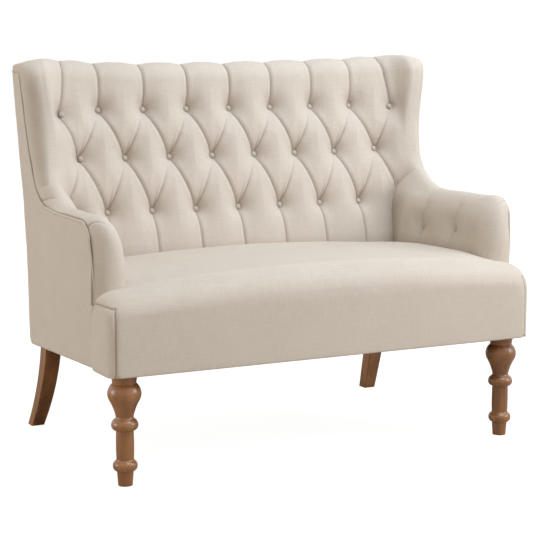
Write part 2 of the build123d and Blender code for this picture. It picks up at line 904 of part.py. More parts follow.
# buttons, as places on the raked plane: across, up, out
middle_row = [((k + 0.5) * button_pitch, 0.0, 0.0) for k in range(-4, 4)]
middle_row[0] = (middle_row[0][0], 0.0, 9.0)
middle_row[-1] = (middle_row[-1][0], 0.0, 9.0)


def long_row(v, end_shift):
    """Nine buttons: seven on the pitch and an end one on each side, where the pad turns into the wing."""
    row = [(k * button_pitch, v, 0.0) for k in range(-3, 4)]
    ends = (end_button_x, v + end_shift, end_button_rise)
    return [(-ends[0], ends[1], ends[2]), *row, ends]


upper_row = long_row(row_gap_upper, end_shift_upper)
lower_row = long_row(-row_gap_lower, end_shift_lower)
back_buttons_at = [raked(*place) for place in (*upper_row, *middle_row, *lower_row)]


groove_depth = back_crown + 3

with BuildPart() as back_pad:
    add(back_form.part)
    for index, place in enumerate(middle_row):
        for row in (upper_row, lower_row):
            for beside in (row[index], row[index + 1]):
                crease_groove(raked(*place), raked(*beside), rake_out, groove_depth, crease_reach)
    for across, up, out in upper_row:
        top_across = across if abs(across) < end_button_x else across * end_pleat_top_x / end_button_x
        pleat_top = raked(top_across, back_pad_top + 5, out)
        crease_groove(raked(across, up, out), pleat_top, rake_out, groove_depth, crease_reach)
        over_front = raked(top_across, back_pad_top - top_notch, back_crown + out)
        over_rear = raked(top_across, back_pad_top - top_notch, -rear_reach)
        crease_groove(over_front, over_rear, rake_up, top_notch + 3, top_notch_reach)
    for across, up, out in lower_row[1:-1]:
        pleat_foot = raked(across, back_pad_bottom - 5, out)
        crease_groove(raked(across, up, out), pleat_foot, rake_out, groove_depth, crease_reach)
    for place in back_buttons_at:
        with BuildSketch(Plane(origin=place + rake_out * button_sink, x_dir=(1, 0, 0), z_dir=rake_out)):
            Circle(button_radius + button_room)
        extrude(amount=2 * groove_depth, mode=Mode.SUBTRACT)
save(back_pad.part, "back_pad")

# ---------------------------------------------------------------- wing pads
wing_stations = (  # height, crest across, then crest and outer edge back from the front of the wing
    (470, 552, -146, -126),
    (560, 552, -130, -102),
    (640, 553, -108, -64),
    (672, 553, -86, -28),
    (705, 551, -66, -12),
    (750, 548, -53, -6),
    (800, 547, -46, -2),
    (860, 549, -43, 1),
    (930, 554, -38, 4),
    (1000, 558, -32, 10),
)


def wing_section(z, crest_x, crest_back, edge_back):
    """Plan section of the wing pad: drawn forward from the inside back to its crest, round to the outside seam."""
    crest_y, edge_y = wing_front_y + crest_back, wing_front_y + edge_back
    inner_y = raked_y(z, back_crown + back_end_rise)
    edge_x = skin_x(edge_y, z) + 4
    with BuildSketch(Plane.XY.offset(z)) as section:
        with BuildLine():
            ThreePointArc(
                (wing_inner_half, inner_y),
                ((wing_inner_half + crest_x) / 2, (inner_y + crest_y) / 2 + 3),
                (crest_x, crest_y),
            )
            ThreePointArc(
                (crest_x, crest_y),
                ((crest_x + edge_x) / 2 + 2, (crest_y + edge_y) / 2 - 5),
                (edge_x, edge_y),
            )
            Polyline(
                (edge_x, edge_y),
                (edge_x, overall_depth / 2),
                (wing_inner_half, overall_depth / 2),
                (wing_inner_half, inner_y),
            )
        make_face()
    return section.sketch


with BuildPart() as wing_pad:
    for station in wing_stations:
        add(wing_section(*station))
    loft(ruled=True)
    with BuildSketch(Plane.YZ) as wing_top:
        with BuildLine():
            crown = raked(0, back_pad_top, 45)
            tail = raked(0, back_pad_top, -rear_reach)
            Polyline(
                (wing_front_y - wing_top_reach, wing_top_foot_z),
                (-overall_depth, wing_top_foot_z),
                (-overall_depth, 0),
                (tail.Y, 0),
                (tail.Y, tail.Z),
                (crown.Y, crown.Z),
            )
            ThreePointArc(
                (wing_front_y - wing_top_reach, wing_top_foot_z),
                (wing_front_y - wing_top_turn, wing_top_turn_z),
                (crown.Y, crown.Z),
            )
        make_face()
    extrude(wing_top.sketch, amount=overall_height, mode=Mode.INTERSECT)
    with BuildSketch(Plane.XZ) as wing_side:
        with BuildLine():
            Polyline(
                (wing_half_front - wing_shoulder, panel_top_z + 3),
                (2 * wing_half_front, panel_top_z + 3),
                (2 * wing_half_front, 0),
                (0, 0),
                (0, overall_height),
                (wing_half_front - wing_top_flat, overall_height),
            )
            ThreePointArc(
                (wing_half_front - wing_shoulder, panel_top_z + 3),
                (wing_half_front - wing_top_round, panel_top_z + 28),
                (wing_half_front - wing_top_flat, overall_height),
            )
        make_face()
    extrude(wing_side.sketch, amount=overall_depth, both=True, mode=Mode.INTERSECT)
    with BuildSketch(Plane.YZ) as under_seam:
        with BuildLine():
            Polyline(
                (-overall_depth, 0),
                (-overall_depth, seam_front_z),
                (seam_front_y + fit, seam_front_z),
                (post_front_y, seam_foot_z),
                (overall_depth, seam_foot_z),
                (overall_depth, 0),
                close=True,
            )
        make_face()
    extrude(under_seam.sketch, amount=overall_height, mode=Mode.SUBTRACT)
    add(beyond_cover, mode=Mode.SUBTRACT)
    add(frame_room.part, mode=Mode.SUBTRACT)
    add(rear_region, mode=Mode.SUBTRACT)
    add(board_room.part, mode=Mode.SUBTRACT)
    for end in (upper_row[-1], lower_row[-1]):
        crease_groove(raked(*middle_row[-1]), raked(*end), rake_out, groove_depth, crease_reach)
    across, up, out = upper_row[-1]
    pleat_top = raked(across * end_pleat_top_x / end_button_x, back_pad_top + 5, out)
    crease_groove(raked(across, up, out), pleat_top, rake_out, groove_depth, crease_reach)
save_pair(wing_pad.part, "wing_pad")

# ---------------------------------------------------------------- buttons
with BuildPart() as button:
    with BuildSketch(Plane.XZ):
        with BuildLine():
            Polyline((0, button_edge + button_dome), (0, 0), (button_radius, 0), (button_radius, button_edge))
            TangentArc(
                (0, button_edge + button_dome),
                (button_radius, button_edge),
                tangent=(1, 0),
            )
        make_face()
    revolve(axis=Axis.Z)


def set_buttons(places, face):
    """The buttons of one pad, each with its flat back on the floor of its recess."""
    with BuildPart() as group:
        for place in places:
            seat = Plane(origin=place + face * button_sink, x_dir=face.cross(Vector(0, 0, 1)), z_dir=face)
            add(button.part.moved(seat.location))
    return group.part


save(set_buttons(back_buttons_at, rake_out), "back_buttons")
save_pair(set_buttons(arm_buttons_at, arm_out), "arm_buttons")

# ---------------------------------------------------------------- seat cushion
def seat_section(depth):
    """Outline of the seat at a depth behind its front: crowned top, round shoulders, upright sides."""
    drop = seat_roll - sqrt(seat_roll**2 - max(seat_roll - depth, 0) ** 2)
    half = ear_half - seat_corner + sqrt(seat_corner**2 - max(seat_corner - depth, 0) ** 2)
    edge = seat_edge_z - drop
    turn = seat_shoulder * (1 - sqrt(0.5))
    with BuildSketch(Plane(origin=(0, front_y + depth, 0), x_dir=(1, 0, 0), z_dir=(0, -1, 0))) as section:
        with BuildLine():
            Polyline((-half, edge - seat_shoulder), (-half, leg_height), (half, leg_height), (half, edge - seat_shoulder))
            ThreePointArc(
                (half, edge - seat_shoulder),
                (half - turn, edge - turn),
                (half - seat_shoulder, edge),
            )
            ThreePointArc(
                (half - seat_shoulder, edge),
                (0, seat_crown_z - drop),
                (seat_shoulder - half, edge),
            )
            ThreePointArc(
                (seat_shoulder - half, edge),
                (turn - half, edge - turn),
                (-half, edge - seat_shoulder),
            )
        make_face()
    return section.sketch


welt_inner = skin_x(arm_front_y, leg_height) - cover - fit

with BuildPart() as seat_cushion:
    for depth in (0, 4, 14, 30, seat_roll):
        add(seat_section(depth))
    loft()
    extrude(seat_section(seat_roll), amount=post_front_y - fit - front_y - seat_roll, dir=(0, 1, 0))
    box_between((-ear_inner, front_rail_y, 0), (ear_inner, overall_depth, deck_z), mode=Mode.SUBTRACT)
    for side in (1, -1):
        with BuildSketch(Plane.XY) as behind_ear:
            with BuildLine():
                Polyline(
                    (side * (arm_inner_front - fit), ear_back_y),
                    (side * overall_depth, ear_back_y),
                    (side * overall_depth, overall_depth),
                    (side * (arm_inner_rear - fit), overall_depth),
                    (side * (arm_inner_rear - fit), post_front_y),
                    close=True,
                )
            make_face()
        extrude(behind_ear.sketch, amount=overall_height, mode=Mode.SUBTRACT)
        box_between(
            (min(side * welt_inner, side * overall_depth), arm_front_y - welt_width - fit, 0),
            (max(side * welt_inner, side * overall_depth), arm_front_y, overall_height),
            mode=Mode.SUBTRACT,
        )
    add(back_form.part, mode=Mode.SUBTRACT)
save(seat_cushion.part, "seat_cushion")
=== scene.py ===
# %% [markdown]
# # A high back settee in oatmeal cloth
# This lesson dresses a two-seat settee: a deep-buttoned back that runs into shallow wings, two low arms,
# one long tight seat, turned front legs and curved rear legs. The frame, the boards and the legs come from
# the CAD model; every cloth piece is modelled here, because cloth is what the eye judges on such a piece of
# furniture.

import bmesh
import bpy
import math
import numpy as np
from mathutils import Matrix, Vector


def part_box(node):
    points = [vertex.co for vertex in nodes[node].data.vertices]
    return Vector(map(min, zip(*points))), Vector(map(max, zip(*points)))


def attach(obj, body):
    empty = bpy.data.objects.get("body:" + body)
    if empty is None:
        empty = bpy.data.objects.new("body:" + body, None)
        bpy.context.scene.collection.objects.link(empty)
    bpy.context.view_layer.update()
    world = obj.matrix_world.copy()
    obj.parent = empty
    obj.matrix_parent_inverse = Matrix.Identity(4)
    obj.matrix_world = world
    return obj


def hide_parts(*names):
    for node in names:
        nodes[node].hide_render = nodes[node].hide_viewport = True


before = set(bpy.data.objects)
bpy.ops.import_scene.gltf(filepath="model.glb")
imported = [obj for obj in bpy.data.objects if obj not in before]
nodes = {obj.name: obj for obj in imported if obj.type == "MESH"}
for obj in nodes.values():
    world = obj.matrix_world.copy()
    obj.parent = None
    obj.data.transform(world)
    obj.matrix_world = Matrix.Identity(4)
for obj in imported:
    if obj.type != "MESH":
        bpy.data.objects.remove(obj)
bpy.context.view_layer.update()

# %% [markdown]
# ## The camera
# The photograph was taken from the front left, a little above the seat, with a long lens. The place, turn
# and lens were solved from the outline of the settee, so the same camera is set here by numbers. A long
# lens keeps the settee's lines almost parallel.

# %% Camera
camera_data = bpy.data.cameras.new("photo_camera")
camera_data.lens = 103.19
camera_data.sensor_width = 36
camera = bpy.data.objects.new("photo_camera", camera_data)
camera.location = (-1.8193, -3.5364, 0.9901)
camera.rotation_euler = (math.radians(90 - 7.858), 0, math.radians(-27.24))
bpy.context.collection.objects.link(camera)
bpy.context.scene.camera = camera
print("lens", round(camera_data.lens, 1), "mm")

# %% [markdown]
# ## Sizes that the cloth follows
# The upholsterer's pattern starts from the frame: where the back is raked, how the sides flare towards the
# wings and where each button is tied. The same few sizes are written here, in metres, and small functions
# turn them into places in space.

# %% The raked back and the flared sides
RAKE = math.radians(12.6)
RAKE_UP = np.array([0, math.sin(RAKE), math.cos(RAKE)])
RAKE_OUT = np.array([0, -math.cos(RAKE), math.sin(RAKE)])
BUTTON_ORIGIN = np.array([0, 0.197, 0.724])


def raked(across, up, out):
    """A point of the raked back, out being how far it stands in front of the buttons."""
    return BUTTON_ORIGIN + np.array([across, 0, 0]) + RAKE_UP * up + RAKE_OUT * out


def raked_depth(height, out):
    """How far back the raked plane is at a height."""
    up = (height - BUTTON_ORIGIN[2] - out * math.sin(RAKE)) / math.cos(RAKE)
    return BUTTON_ORIGIN[1] + up * math.sin(RAKE) - out * math.cos(RAKE)


SIDE_LINES = (  # height, half width at the front edge and at the rear, and the depths of both
    (0.264, 0.572, 0.560, -0.260, 0.275),
    (0.620, 0.594, 0.566, -0.260, 0.275),
    (0.975, 0.607, 0.578, 0.186, 0.320),
)


def side_half(depth, height):
    """Half width over the outside covers at a depth and height."""
    heights = np.array([line[0] for line in SIDE_LINES])
    change = np.array([(line[1] - line[2]) / (line[3] - line[4]) for line in SIDE_LINES])
    middle = np.array([line[2] - (line[1] - line[2]) / (line[3] - line[4]) * line[4] for line in SIDE_LINES])
    slope = (middle[2] - middle[1]) / (heights[2] - heights[1])
    above = np.maximum(np.asarray(height) - heights[2], 0)
    return np.interp(height, heights, middle) + above * slope + np.interp(height, heights, change) * depth


def rear_depth(height):
    """How far back the outside back is at a height."""
    return 0.275 + np.maximum(np.asarray(height) - 0.500, 0) * (0.045 / 0.448)


def curve_value(places, values, at):
    """Smooth curve through (place, value) pairs, read at the given places."""
    places, values = np.asarray(places, float), np.asarray(values, float)
    slopes = np.gradient(values, places)
    at = np.clip(at, places[0], places[-1])
    index = np.clip(np.searchsorted(places, at) - 1, 0, len(places) - 2)
    step = places[index + 1] - places[index]
    t = (at - places[index]) / step
    a = 2 * t**3 - 3 * t**2 + 1
    b = t**3 - 2 * t**2 + t
    c = -2 * t**3 + 3 * t**2
    d = t**3 - t**2
    return a * values[index] + b * step * slopes[index] + c * values[index + 1] + d * step * slopes[index + 1]


print("half width over the arms", round(float(side_half(-0.260, 0.6)), 3), "m")

# %% [markdown]
# ## Small tools
# A few helpers are used all through. They turn a bmesh into an object, read and move the points of a mesh,
# work a modifier into a mesh, mirror a piece, and lay the flat weave pattern on it. The weave is laid by
# the main direction that each face looks in, in real metres, so a thread is as wide on the seat as on the
# arm.

# %% Helpers for pieces
def new_piece(name, mesh_or_bmesh):
    """Object with its mesh in place and smooth shading."""
    if isinstance(mesh_or_bmesh, bmesh.types.BMesh):
        mesh = bpy.data.meshes.new(name)
        mesh_or_bmesh.to_mesh(mesh)
        mesh_or_bmesh.free()
    else:
        mesh = mesh_or_bmesh
    mesh.shade_smooth()
    piece = bpy.data.objects.new(name, mesh)
    bpy.context.collection.objects.link(piece)
    return piece


def mesh_points(mesh):
    """Places of all vertices, one row each."""
    points = np.empty(len(mesh.vertices) * 3)
    mesh.vertices.foreach_get("co", points)
    return points.reshape(-1, 3)


def move_points(mesh, points):
    """Gives every vertex its new place."""
    mesh.vertices.foreach_set("co", np.ascontiguousarray(points, float).ravel())
    mesh.update()


def point_normals(mesh):
    """The way that the surface faces at each vertex."""
    normals = np.empty(len(mesh.vertices) * 3)
    mesh.vertex_normals.foreach_get("vector", normals)
    return normals.reshape(-1, 3)


def corner_vertices(mesh):
    """The vertex at each corner of each face."""
    found = np.empty(len(mesh.loops), int)
    mesh.loops.foreach_get("vertex_index", found)
    return found


def baked_mesh(piece):
    """A new mesh with the piece's modifiers worked in."""
    graph = bpy.context.evaluated_depsgraph_get()
    return bpy.data.meshes.new_from_object(piece.evaluated_get(graph))


def even_net(piece, voxel):
    """Rebuilds a closed piece as an even net of small squares."""
    remesh = piece.modifiers.new("even_net", "REMESH")
    remesh.mode = "VOXEL"
    remesh.voxel_size = voxel
    net = baked_mesh(piece)
    piece.modifiers.clear()
    piece.data = net
    return net


def lay_weave(piece):
    """UV map in metres, from the axis that each face looks along most."""
    mesh = piece.data
    layer = mesh.uv_layers.new(name="weave") if not mesh.uv_layers else mesh.uv_layers[0]
    points = mesh_points(mesh)
    normals = np.empty(len(mesh.polygons) * 3)
    mesh.polygons.foreach_get("normal", normals)
    normals = np.abs(normals.reshape(-1, 3)) * [1.0, 1.05, 1.1]
    corners = np.empty(len(mesh.polygons), int)
    mesh.polygons.foreach_get("loop_total", corners)
    facing = np.repeat(normals.argmax(1), corners)[:, None]
    place = points[corner_vertices(mesh)]
    not_sideways = np.where(facing == 1, place[:, [0, 2]], place[:, [0, 1]])
    flat = np.where(facing == 0, place[:, [1, 2]], not_sideways)
    layer.data.foreach_set("uv", flat.ravel())


def give_thickness(piece, thickness, edge_only=False):
    """Solidify inwards, so that the cloth has a real edge, and an inner face unless nothing ever shows it."""
    solidify = piece.modifiers.new("cloth_thickness", "SOLIDIFY")
    solidify.thickness = thickness
    solidify.offset = -1
    solidify.use_rim_only = edge_only
    thick = baked_mesh(piece)
    piece.modifiers.clear()
    piece.data = thick
    thick.shade_smooth()


def give_finish(piece, material):
    """One material all over."""
    piece.data.materials.clear()
    piece.data.materials.append(material)


def even_points(line, spacing):
    """The same line with points at an even spacing."""
    line = np.asarray(line, float)
    run = np.r_[0, np.cumsum(np.linalg.norm(np.diff(line, axis=0), axis=1))]
    at = np.linspace(0, run[-1], max(2, int(run[-1] / spacing) + 1))
    return np.column_stack([np.interp(at, run, line[:, i]) for i in range(line.shape[1])])


def mirrored(piece, name):
    """The same piece for the other side."""
    mesh = piece.data.copy()
    edit = bmesh.new()
    edit.from_mesh(mesh)
    bmesh.ops.scale(edit, vec=(-1, 1, 1), verts=edit.verts)
    bmesh.ops.reverse_faces(edit, faces=edit.faces)
    edit.to_mesh(mesh)
    edit.free()
    return new_piece(name, mesh)


COVER_THICK = 0.0015  # m, the cover cloth with its lining
print("cover", COVER_THICK * 1000, "mm thick")

# %% [markdown]
# ## Materials
# Colours are written as the hex values seen on the real thing and turned to linear once. The cover is a
# linen-look plain weave: matt, with slubs, which are short thicker stretches of yarn, running both ways.
# The legs are a stained hardwood under satin lacquer.

# %% Colour and node helpers
def colour(hex_value):
    """sRGB hex to linear RGBA."""
    channels = [int(hex_value[i : i + 2], 16) / 255 for i in (1, 3, 5)]
    linear = [c / 12.92 if c <= 0.04045 else ((c + 0.055) / 1.055) ** 2.4 for c in channels]
    return (*linear, 1.0)


def add_node(tree, kind, settings=None, inputs=None, links=None):
    """Adds one shader node: settings are its attributes, inputs its values, links what comes into it."""
    made = tree.nodes.new(kind)
    for key, value in (settings or {}).items():
        setattr(made, key, value)
    for key, value in (inputs or {}).items():
        made.inputs[key].default_value = value
    for key, source in (links or {}).items():
        tree.links.new(source, made.inputs[key])
    return made


def new_material(name):
    """Material with its node tree and its Principled shader."""
    material = bpy.data.materials.new(name)
    material.use_nodes = True
    tree = material.node_tree
    shader = tree.nodes["Principled BSDF"]
    return material, tree, shader


print("oatmeal in linear values", [round(c, 3) for c in colour("#D9CEC2")[:3]])

# %% [markdown]
# ### The cover cloth
# A linen-look cloth has about 12 threads per centimetre. That is far too fine for a picture of a whole
# settee, so the weave is drawn three times as coarse, and the slubs, which do show from a few steps away,
# are drawn at their real 8 to 40 mm length. Creases collect shade, and here that shade is painted: each
# piece may carry a value from 0 to 1, set where the cloth is drawn in, that paints shade into its colour.

# %% Linen-look cloth
THREAD = 0.0024  # m, three real threads
WAVE_PERIOD = 0.3142  # m, how often a wave texture of scale 1 repeats
WARP_SLUBS = (520, 28, 1)  # per metre, so each is about 2 mm wide and 36 mm long
WEFT_SLUBS = (24, 480, 1)  # about 42 mm long and 2 mm wide


def cloth_material(name, base, shade):
    """Matt woven cloth: slubs both ways, faint clouds, crossing threads, and painted shade in the folds."""
    material, tree, shader = new_material(name)
    coords = add_node(tree, "ShaderNodeUVMap", {"uv_map": "weave"})
    flat = coords.outputs["UV"]
    slub_look = {"Scale": 1.0, "Detail": 3.0, "Roughness": 0.6}
    thread_look = {"Scale": WAVE_PERIOD / THREAD, "Distortion": 0.6, "Detail": 1.0, "Detail Scale": 2.0}
    yarns, threads = {}, {}
    for way, (slub_scale, bands) in enumerate(((WARP_SLUBS, "X"), (WEFT_SLUBS, "Y"))):
        drawn_out = add_node(tree, "ShaderNodeMapping", inputs={"Scale": slub_scale}, links={"Vector": flat})
        yarn = add_node(
            tree, "ShaderNodeTexNoise", inputs=slub_look, links={"Vector": drawn_out.outputs["Vector"]}
        )
        thread = add_node(
            tree, "ShaderNodeTexWave", {"bands_direction": bands}, thread_look, {"Vector": flat}
        )
        yarns[way], threads[way] = yarn.outputs["Fac"], thread.outputs["Fac"]
    slubs = add_node(tree, "ShaderNodeMath", {"operation": "ADD"}, links=yarns)
    slub_range = add_node(
        tree, "ShaderNodeMapRange",
        inputs={"From Min": 0.60, "From Max": 1.40}, links={"Value": slubs.outputs[0]}
    )
    clouds = add_node(
        tree, "ShaderNodeTexNoise", inputs={"Scale": 7.0, "Detail": 2.0}, links={"Vector": flat}
    )
    cloud_range = add_node(
        tree, "ShaderNodeMapRange",
        inputs={"From Min": 0.3, "From Max": 0.7}, links={"Value": clouds.outputs["Fac"]}
    )
    dyed = add_node(
        tree,
        "ShaderNodeMix",
        {"data_type": "RGBA"},
        {"A": colour(shade), "B": colour(base)},
        {"Factor": slub_range.outputs["Result"]},
    )
    aged = add_node(
        tree,
        "ShaderNodeMix",
        {"data_type": "RGBA", "blend_type": "MULTIPLY"},
        {"B": (0.965, 0.96, 0.95, 1)},
        {"Factor": cloud_range.outputs["Result"], "A": dyed.outputs["Result"]},
    )
    # painted shade: the colour is darkened towards a deep brown where the piece's value for it is high
    painted_shade = add_node(tree, "ShaderNodeAttribute", {"attribute_name": "painted_shade"})
    painted_shade_mix = add_node(
        tree,
        "ShaderNodeMix",
        {"data_type": "RGBA", "blend_type": "MULTIPLY"},
        {"B": (0.33, 0.28, 0.23, 1)},
        {"Factor": painted_shade.outputs["Fac"], "A": aged.outputs["Result"]},
    )
    crossing = add_node(tree, "ShaderNodeMath", {"operation": "MULTIPLY"}, links=threads)
    relief = add_node(
        tree,
        "ShaderNodeMath",
        {"operation": "ADD"},
        links={0: crossing.outputs[0], 1: slub_range.outputs["Result"]},
    )
    bump = add_node(
        tree, "ShaderNodeBump",
        inputs={"Strength": 0.35, "Distance": 0.0006}, links={"Height": relief.outputs[0]}
    )
    tree.links.new(painted_shade_mix.outputs["Result"], shader.inputs["Base Color"])
    tree.links.new(bump.outputs["Normal"], shader.inputs["Normal"])
    shader.inputs["Roughness"].default_value = 0.92
    shader.inputs["Specular IOR Level"].default_value = 0.2
    shader.inputs["Sheen Weight"].default_value = 0.12
    shader.inputs["Sheen Roughness"].default_value = 0.6
    shader.inputs["Sheen Tint"].default_value = colour("#F2EADF")
    return material


CLOTH = cloth_material("oatmeal_linen_weave", "#D9CEC2", "#C9BEB1")
print("cover cloth", CLOTH.name)

# %% [markdown]
# ### Stained and lacquered hardwood
# The legs are turned and sawn from a pale hardwood, wiped with a brown stain that settles in the pores and
# in the turned grooves, and sprayed with satin lacquer, which gives a soft highlight over a grain that is
# still seen. Grain runs along the leg, so the noise is stretched along Z. The frame inside is sawn hardwood
# and sanded plywood, left bare, so it is paler and duller.

# %% Wood finishes
GRAIN_STRETCH = 0.045  # a fibre is drawn about 22 times as long as it is wide


def wood_material(name, pale, dark, roughness, coat, grain_mm=3.0):
    """Wood with fine grain and broad bands along Z; coat is the share of lacquer."""
    material, tree, shader = new_material(name)
    coords = add_node(tree, "ShaderNodeTexCoord")
    along = 1000 / grain_mm
    noises = {}
    for place, scale, look in (
        (0, (along, along, along * GRAIN_STRETCH), {"Detail": 4.0, "Roughness": 0.62, "Distortion": 0.4}),
        (2, (30, 30, 3), {"Detail": 2.0}),
    ):
        stretched = add_node(
            tree, "ShaderNodeMapping", inputs={"Scale": scale}, links={"Vector": coords.outputs["Object"]}
        )
        noise = add_node(
            tree, "ShaderNodeTexNoise",
            inputs={"Scale": 1.0, **look}, links={"Vector": stretched.outputs["Vector"]}
        )
        noises[place] = noise.outputs["Fac"]
    both = add_node(tree, "ShaderNodeMath", {"operation": "MULTIPLY_ADD"}, {1: 0.55}, noises)
    ramp = add_node(tree, "ShaderNodeValToRGB", links={"Fac": both.outputs[0]})
    ramp.color_ramp.elements[0].position = 0.55
    ramp.color_ramp.elements[0].color = colour(dark)
    ramp.color_ramp.elements[1].position = 0.98
    ramp.color_ramp.elements[1].color = colour(pale)
    bump = add_node(
        tree, "ShaderNodeBump", inputs={"Strength": 0.12, "Distance": 0.0004}, links={"Height": noises[0]}
    )
    tree.links.new(ramp.outputs["Color"], shader.inputs["Base Color"])
    tree.links.new(bump.outputs["Normal"], shader.inputs["Normal"])
    shader.inputs["Roughness"].default_value = roughness
    shader.inputs["Coat Weight"].default_value = coat
    shader.inputs["Coat Roughness"].default_value = 0.25
    return material


LEG_WOOD = wood_material("stained_lacquered_hardwood", "#A5703F", "#774A24", 0.36, 0.45)
FRAME_WOOD = wood_material("sawn_frame_hardwood", "#C9AB80", "#A98758", 0.7, 0.0, 4.0)
PLYWOOD = wood_material("sanded_plywood", "#D0B588", "#B5935F", 0.65, 0.0, 5.0)
print("woods", LEG_WOOD.name, FRAME_WOOD.name, PLYWOOD.name)

# %% [markdown]
# ### Webbing, dust cover and bolts
# Webbing is a coarse plain weave of jute, rough and brown. The dust cover is a black cloth of bonded
# fibres, dull all over. Both are flat and lie level, so two waves across each other on the object's own
# coordinates draw their threads. The bolts are steel with a zinc plating, a grey metal whose fine crystals
# make the gloss uneven.

# %% Webbing, dust cover and bolt finishes
def plain_cloth(name, base, shade, thread_mm, rough):
    """Coarse plain weave, read from object coordinates."""
    material, tree, shader = new_material(name)
    coords = add_node(tree, "ShaderNodeTexCoord")
    look = {"Scale": 1000 * WAVE_PERIOD / thread_mm, "Distortion": 0.8}
    threads = {}
    for way, bands in enumerate("XY"):
        thread = add_node(
            tree, "ShaderNodeTexWave", {"bands_direction": bands}, look, {"Vector": coords.outputs["Object"]}
        )
        threads[way] = thread.outputs["Fac"]
    woven = add_node(tree, "ShaderNodeMath", {"operation": "MULTIPLY"}, links=threads)
    mix = add_node(
        tree,
        "ShaderNodeMix",
        {"data_type": "RGBA"},
        {"A": colour(shade), "B": colour(base)},
        {"Factor": woven.outputs[0]},
    )
    bump = add_node(
        tree, "ShaderNodeBump",
        inputs={"Strength": 0.3, "Distance": 0.0005}, links={"Height": woven.outputs[0]}
    )
    tree.links.new(mix.outputs["Result"], shader.inputs["Base Color"])
    tree.links.new(bump.outputs["Normal"], shader.inputs["Normal"])
    shader.inputs["Roughness"].default_value = rough
    return material


JUTE = plain_cloth("jute_webbing", "#B79A70", "#8A6F4A", 3.0, 0.95)
DUST_CLOTH = plain_cloth("black_nonwoven_cloth", "#2B2A29", "#1D1C1B", 1.6, 0.95)

ZINC, tree, shader = new_material("zinc_plated_steel")
coords = add_node(tree, "ShaderNodeTexCoord")
crystals = add_node(  # 900 to the metre, so about 1 mm each
    tree, "ShaderNodeTexNoise",
    inputs={"Scale": 900.0, "Detail": 2.0}, links={"Vector": coords.outputs["Object"]}
)
gloss = add_node(
    tree, "ShaderNodeMapRange",
    inputs={"To Min": 0.3, "To Max": 0.5}, links={"Value": crystals.outputs["Fac"]}
)
tree.links.new(gloss.outputs["Result"], shader.inputs["Roughness"])
shader.inputs["Base Color"].default_value = colour("#B9BBBC")
shader.inputs["Metallic"].default_value = 1.0
print("other finishes", JUTE.name, DUST_CLOTH.name, ZINC.name)

# %% [markdown]
# ### Which piece gets which finish
# The hard pieces come from the CAD model as they are, so each only needs its finish. Their names say what
# they are.

# %% Finishes of the CAD nodes that stay
for name, node in nodes.items():
    if name.startswith(("front_leg", "rear_leg")):
        finish = LEG_WOOD
    elif name == "leg_bolts":
        finish = ZINC
    elif "board" in name:
        finish = PLYWOOD
    elif "webbing" in name:
        finish = JUTE
    else:
        finish = FRAME_WOOD
    for material_slot in node.material_slots:
        material_slot.material = finish
print("nodes", len(nodes))

# %% [markdown]
# ## The buttoned back and the wings
# One cloth covers the inside back and both wings. An upholsterer marks a diamond pattern, pulls each button
# through the padding, and folds the spare cloth into pleats from button to button. The shape could be
# simulated, but the pleats must run exactly from button to button, so a fine grid is laid over the padded
# form and drawn in by formulas: a dimple round each button, and a narrow pleat along each line between two
# buttons.
#
# First the padded form without buttons: flat in the middle, drawn forward to the wing's crest, and round to
# the outside seam. Each column of the grid is one place along that curve.

# %% The padded form
PUFF = 0.031  # how far the pillows stand in front of the buttons
WING = np.array(
    [  # height, crest across and back, outer edge back
        (0.400, 0.552, 0.030, 0.050),
        (0.470, 0.552, 0.040, 0.060),
        (0.560, 0.552, 0.056, 0.100),
        (0.640, 0.553, 0.078, 0.142),
        (0.672, 0.552, 0.102, 0.165),
        (0.705, 0.547, 0.122, 0.178),
        (0.750, 0.543, 0.135, 0.185),
        (0.800, 0.541, 0.144, 0.189),
        (0.860, 0.545, 0.147, 0.190),
        (0.918, 0.553, 0.147, 0.1885),
        (0.940, 0.555, 0.149, 0.190),
        (0.955, 0.556, 0.151, 0.195),
        (0.975, 0.557, 0.153, 0.206),
        (1.000, 0.558, 0.156, 0.222),
    ]
)
ROUND = (  # a quarter round from crest to outside seam: share of the way, of the width and of the depth
    (0.17, 0.25, 0.040),
    (0.33, 0.48, 0.146),
    (0.50, 0.68, 0.318),
    (0.67, 0.845, 0.530),
    (0.83, 0.953, 0.760),
)
FLAT_HALF = 0.400  # m, half the width of the flat middle of the back
COLUMN_STEP = 0.0029
FLAT = int(FLAT_HALF / COLUMN_STEP)
TURN = 36  # columns from the flat to where the wing begins
RISE = 22  # from there to the crest
NOSE = 28  # from the crest to the outside seam
TUCK = 3  # behind the seam
COLUMNS = FLAT + TURN + RISE + NOSE + TUCK
FRONT_ROWS, ROLL_ROWS, TOP_ROWS, REAR_ROWS = 162, 26, 14, 5
ROWS = FRONT_ROWS + ROLL_ROWS + TOP_ROWS + REAR_ROWS


def smooth_step(before, start, end, after, t):
    """A place between start and end, on the smooth curve that also passes through before and after."""
    return 0.5 * (
        2 * start
        + (end - before) * t
        + (2 * before - 5 * start + 4 * end - after) * t**2
        + (3 * start - before - 3 * end + after) * t**3
    )


def through(points, t):
    """Smooth curve through rows of points, each of shape (n, 2), at t = 0, 1, 2 ..."""
    last = len(points) - 1
    index = np.clip(np.floor(t).astype(int), 0, last - 1)
    stack = np.stack(points)
    rows = np.arange(len(t))
    around = (stack[np.clip(index + k, 0, last), rows] for k in (-1, 0, 1, 2))
    return smooth_step(*around, (t - index)[:, None])


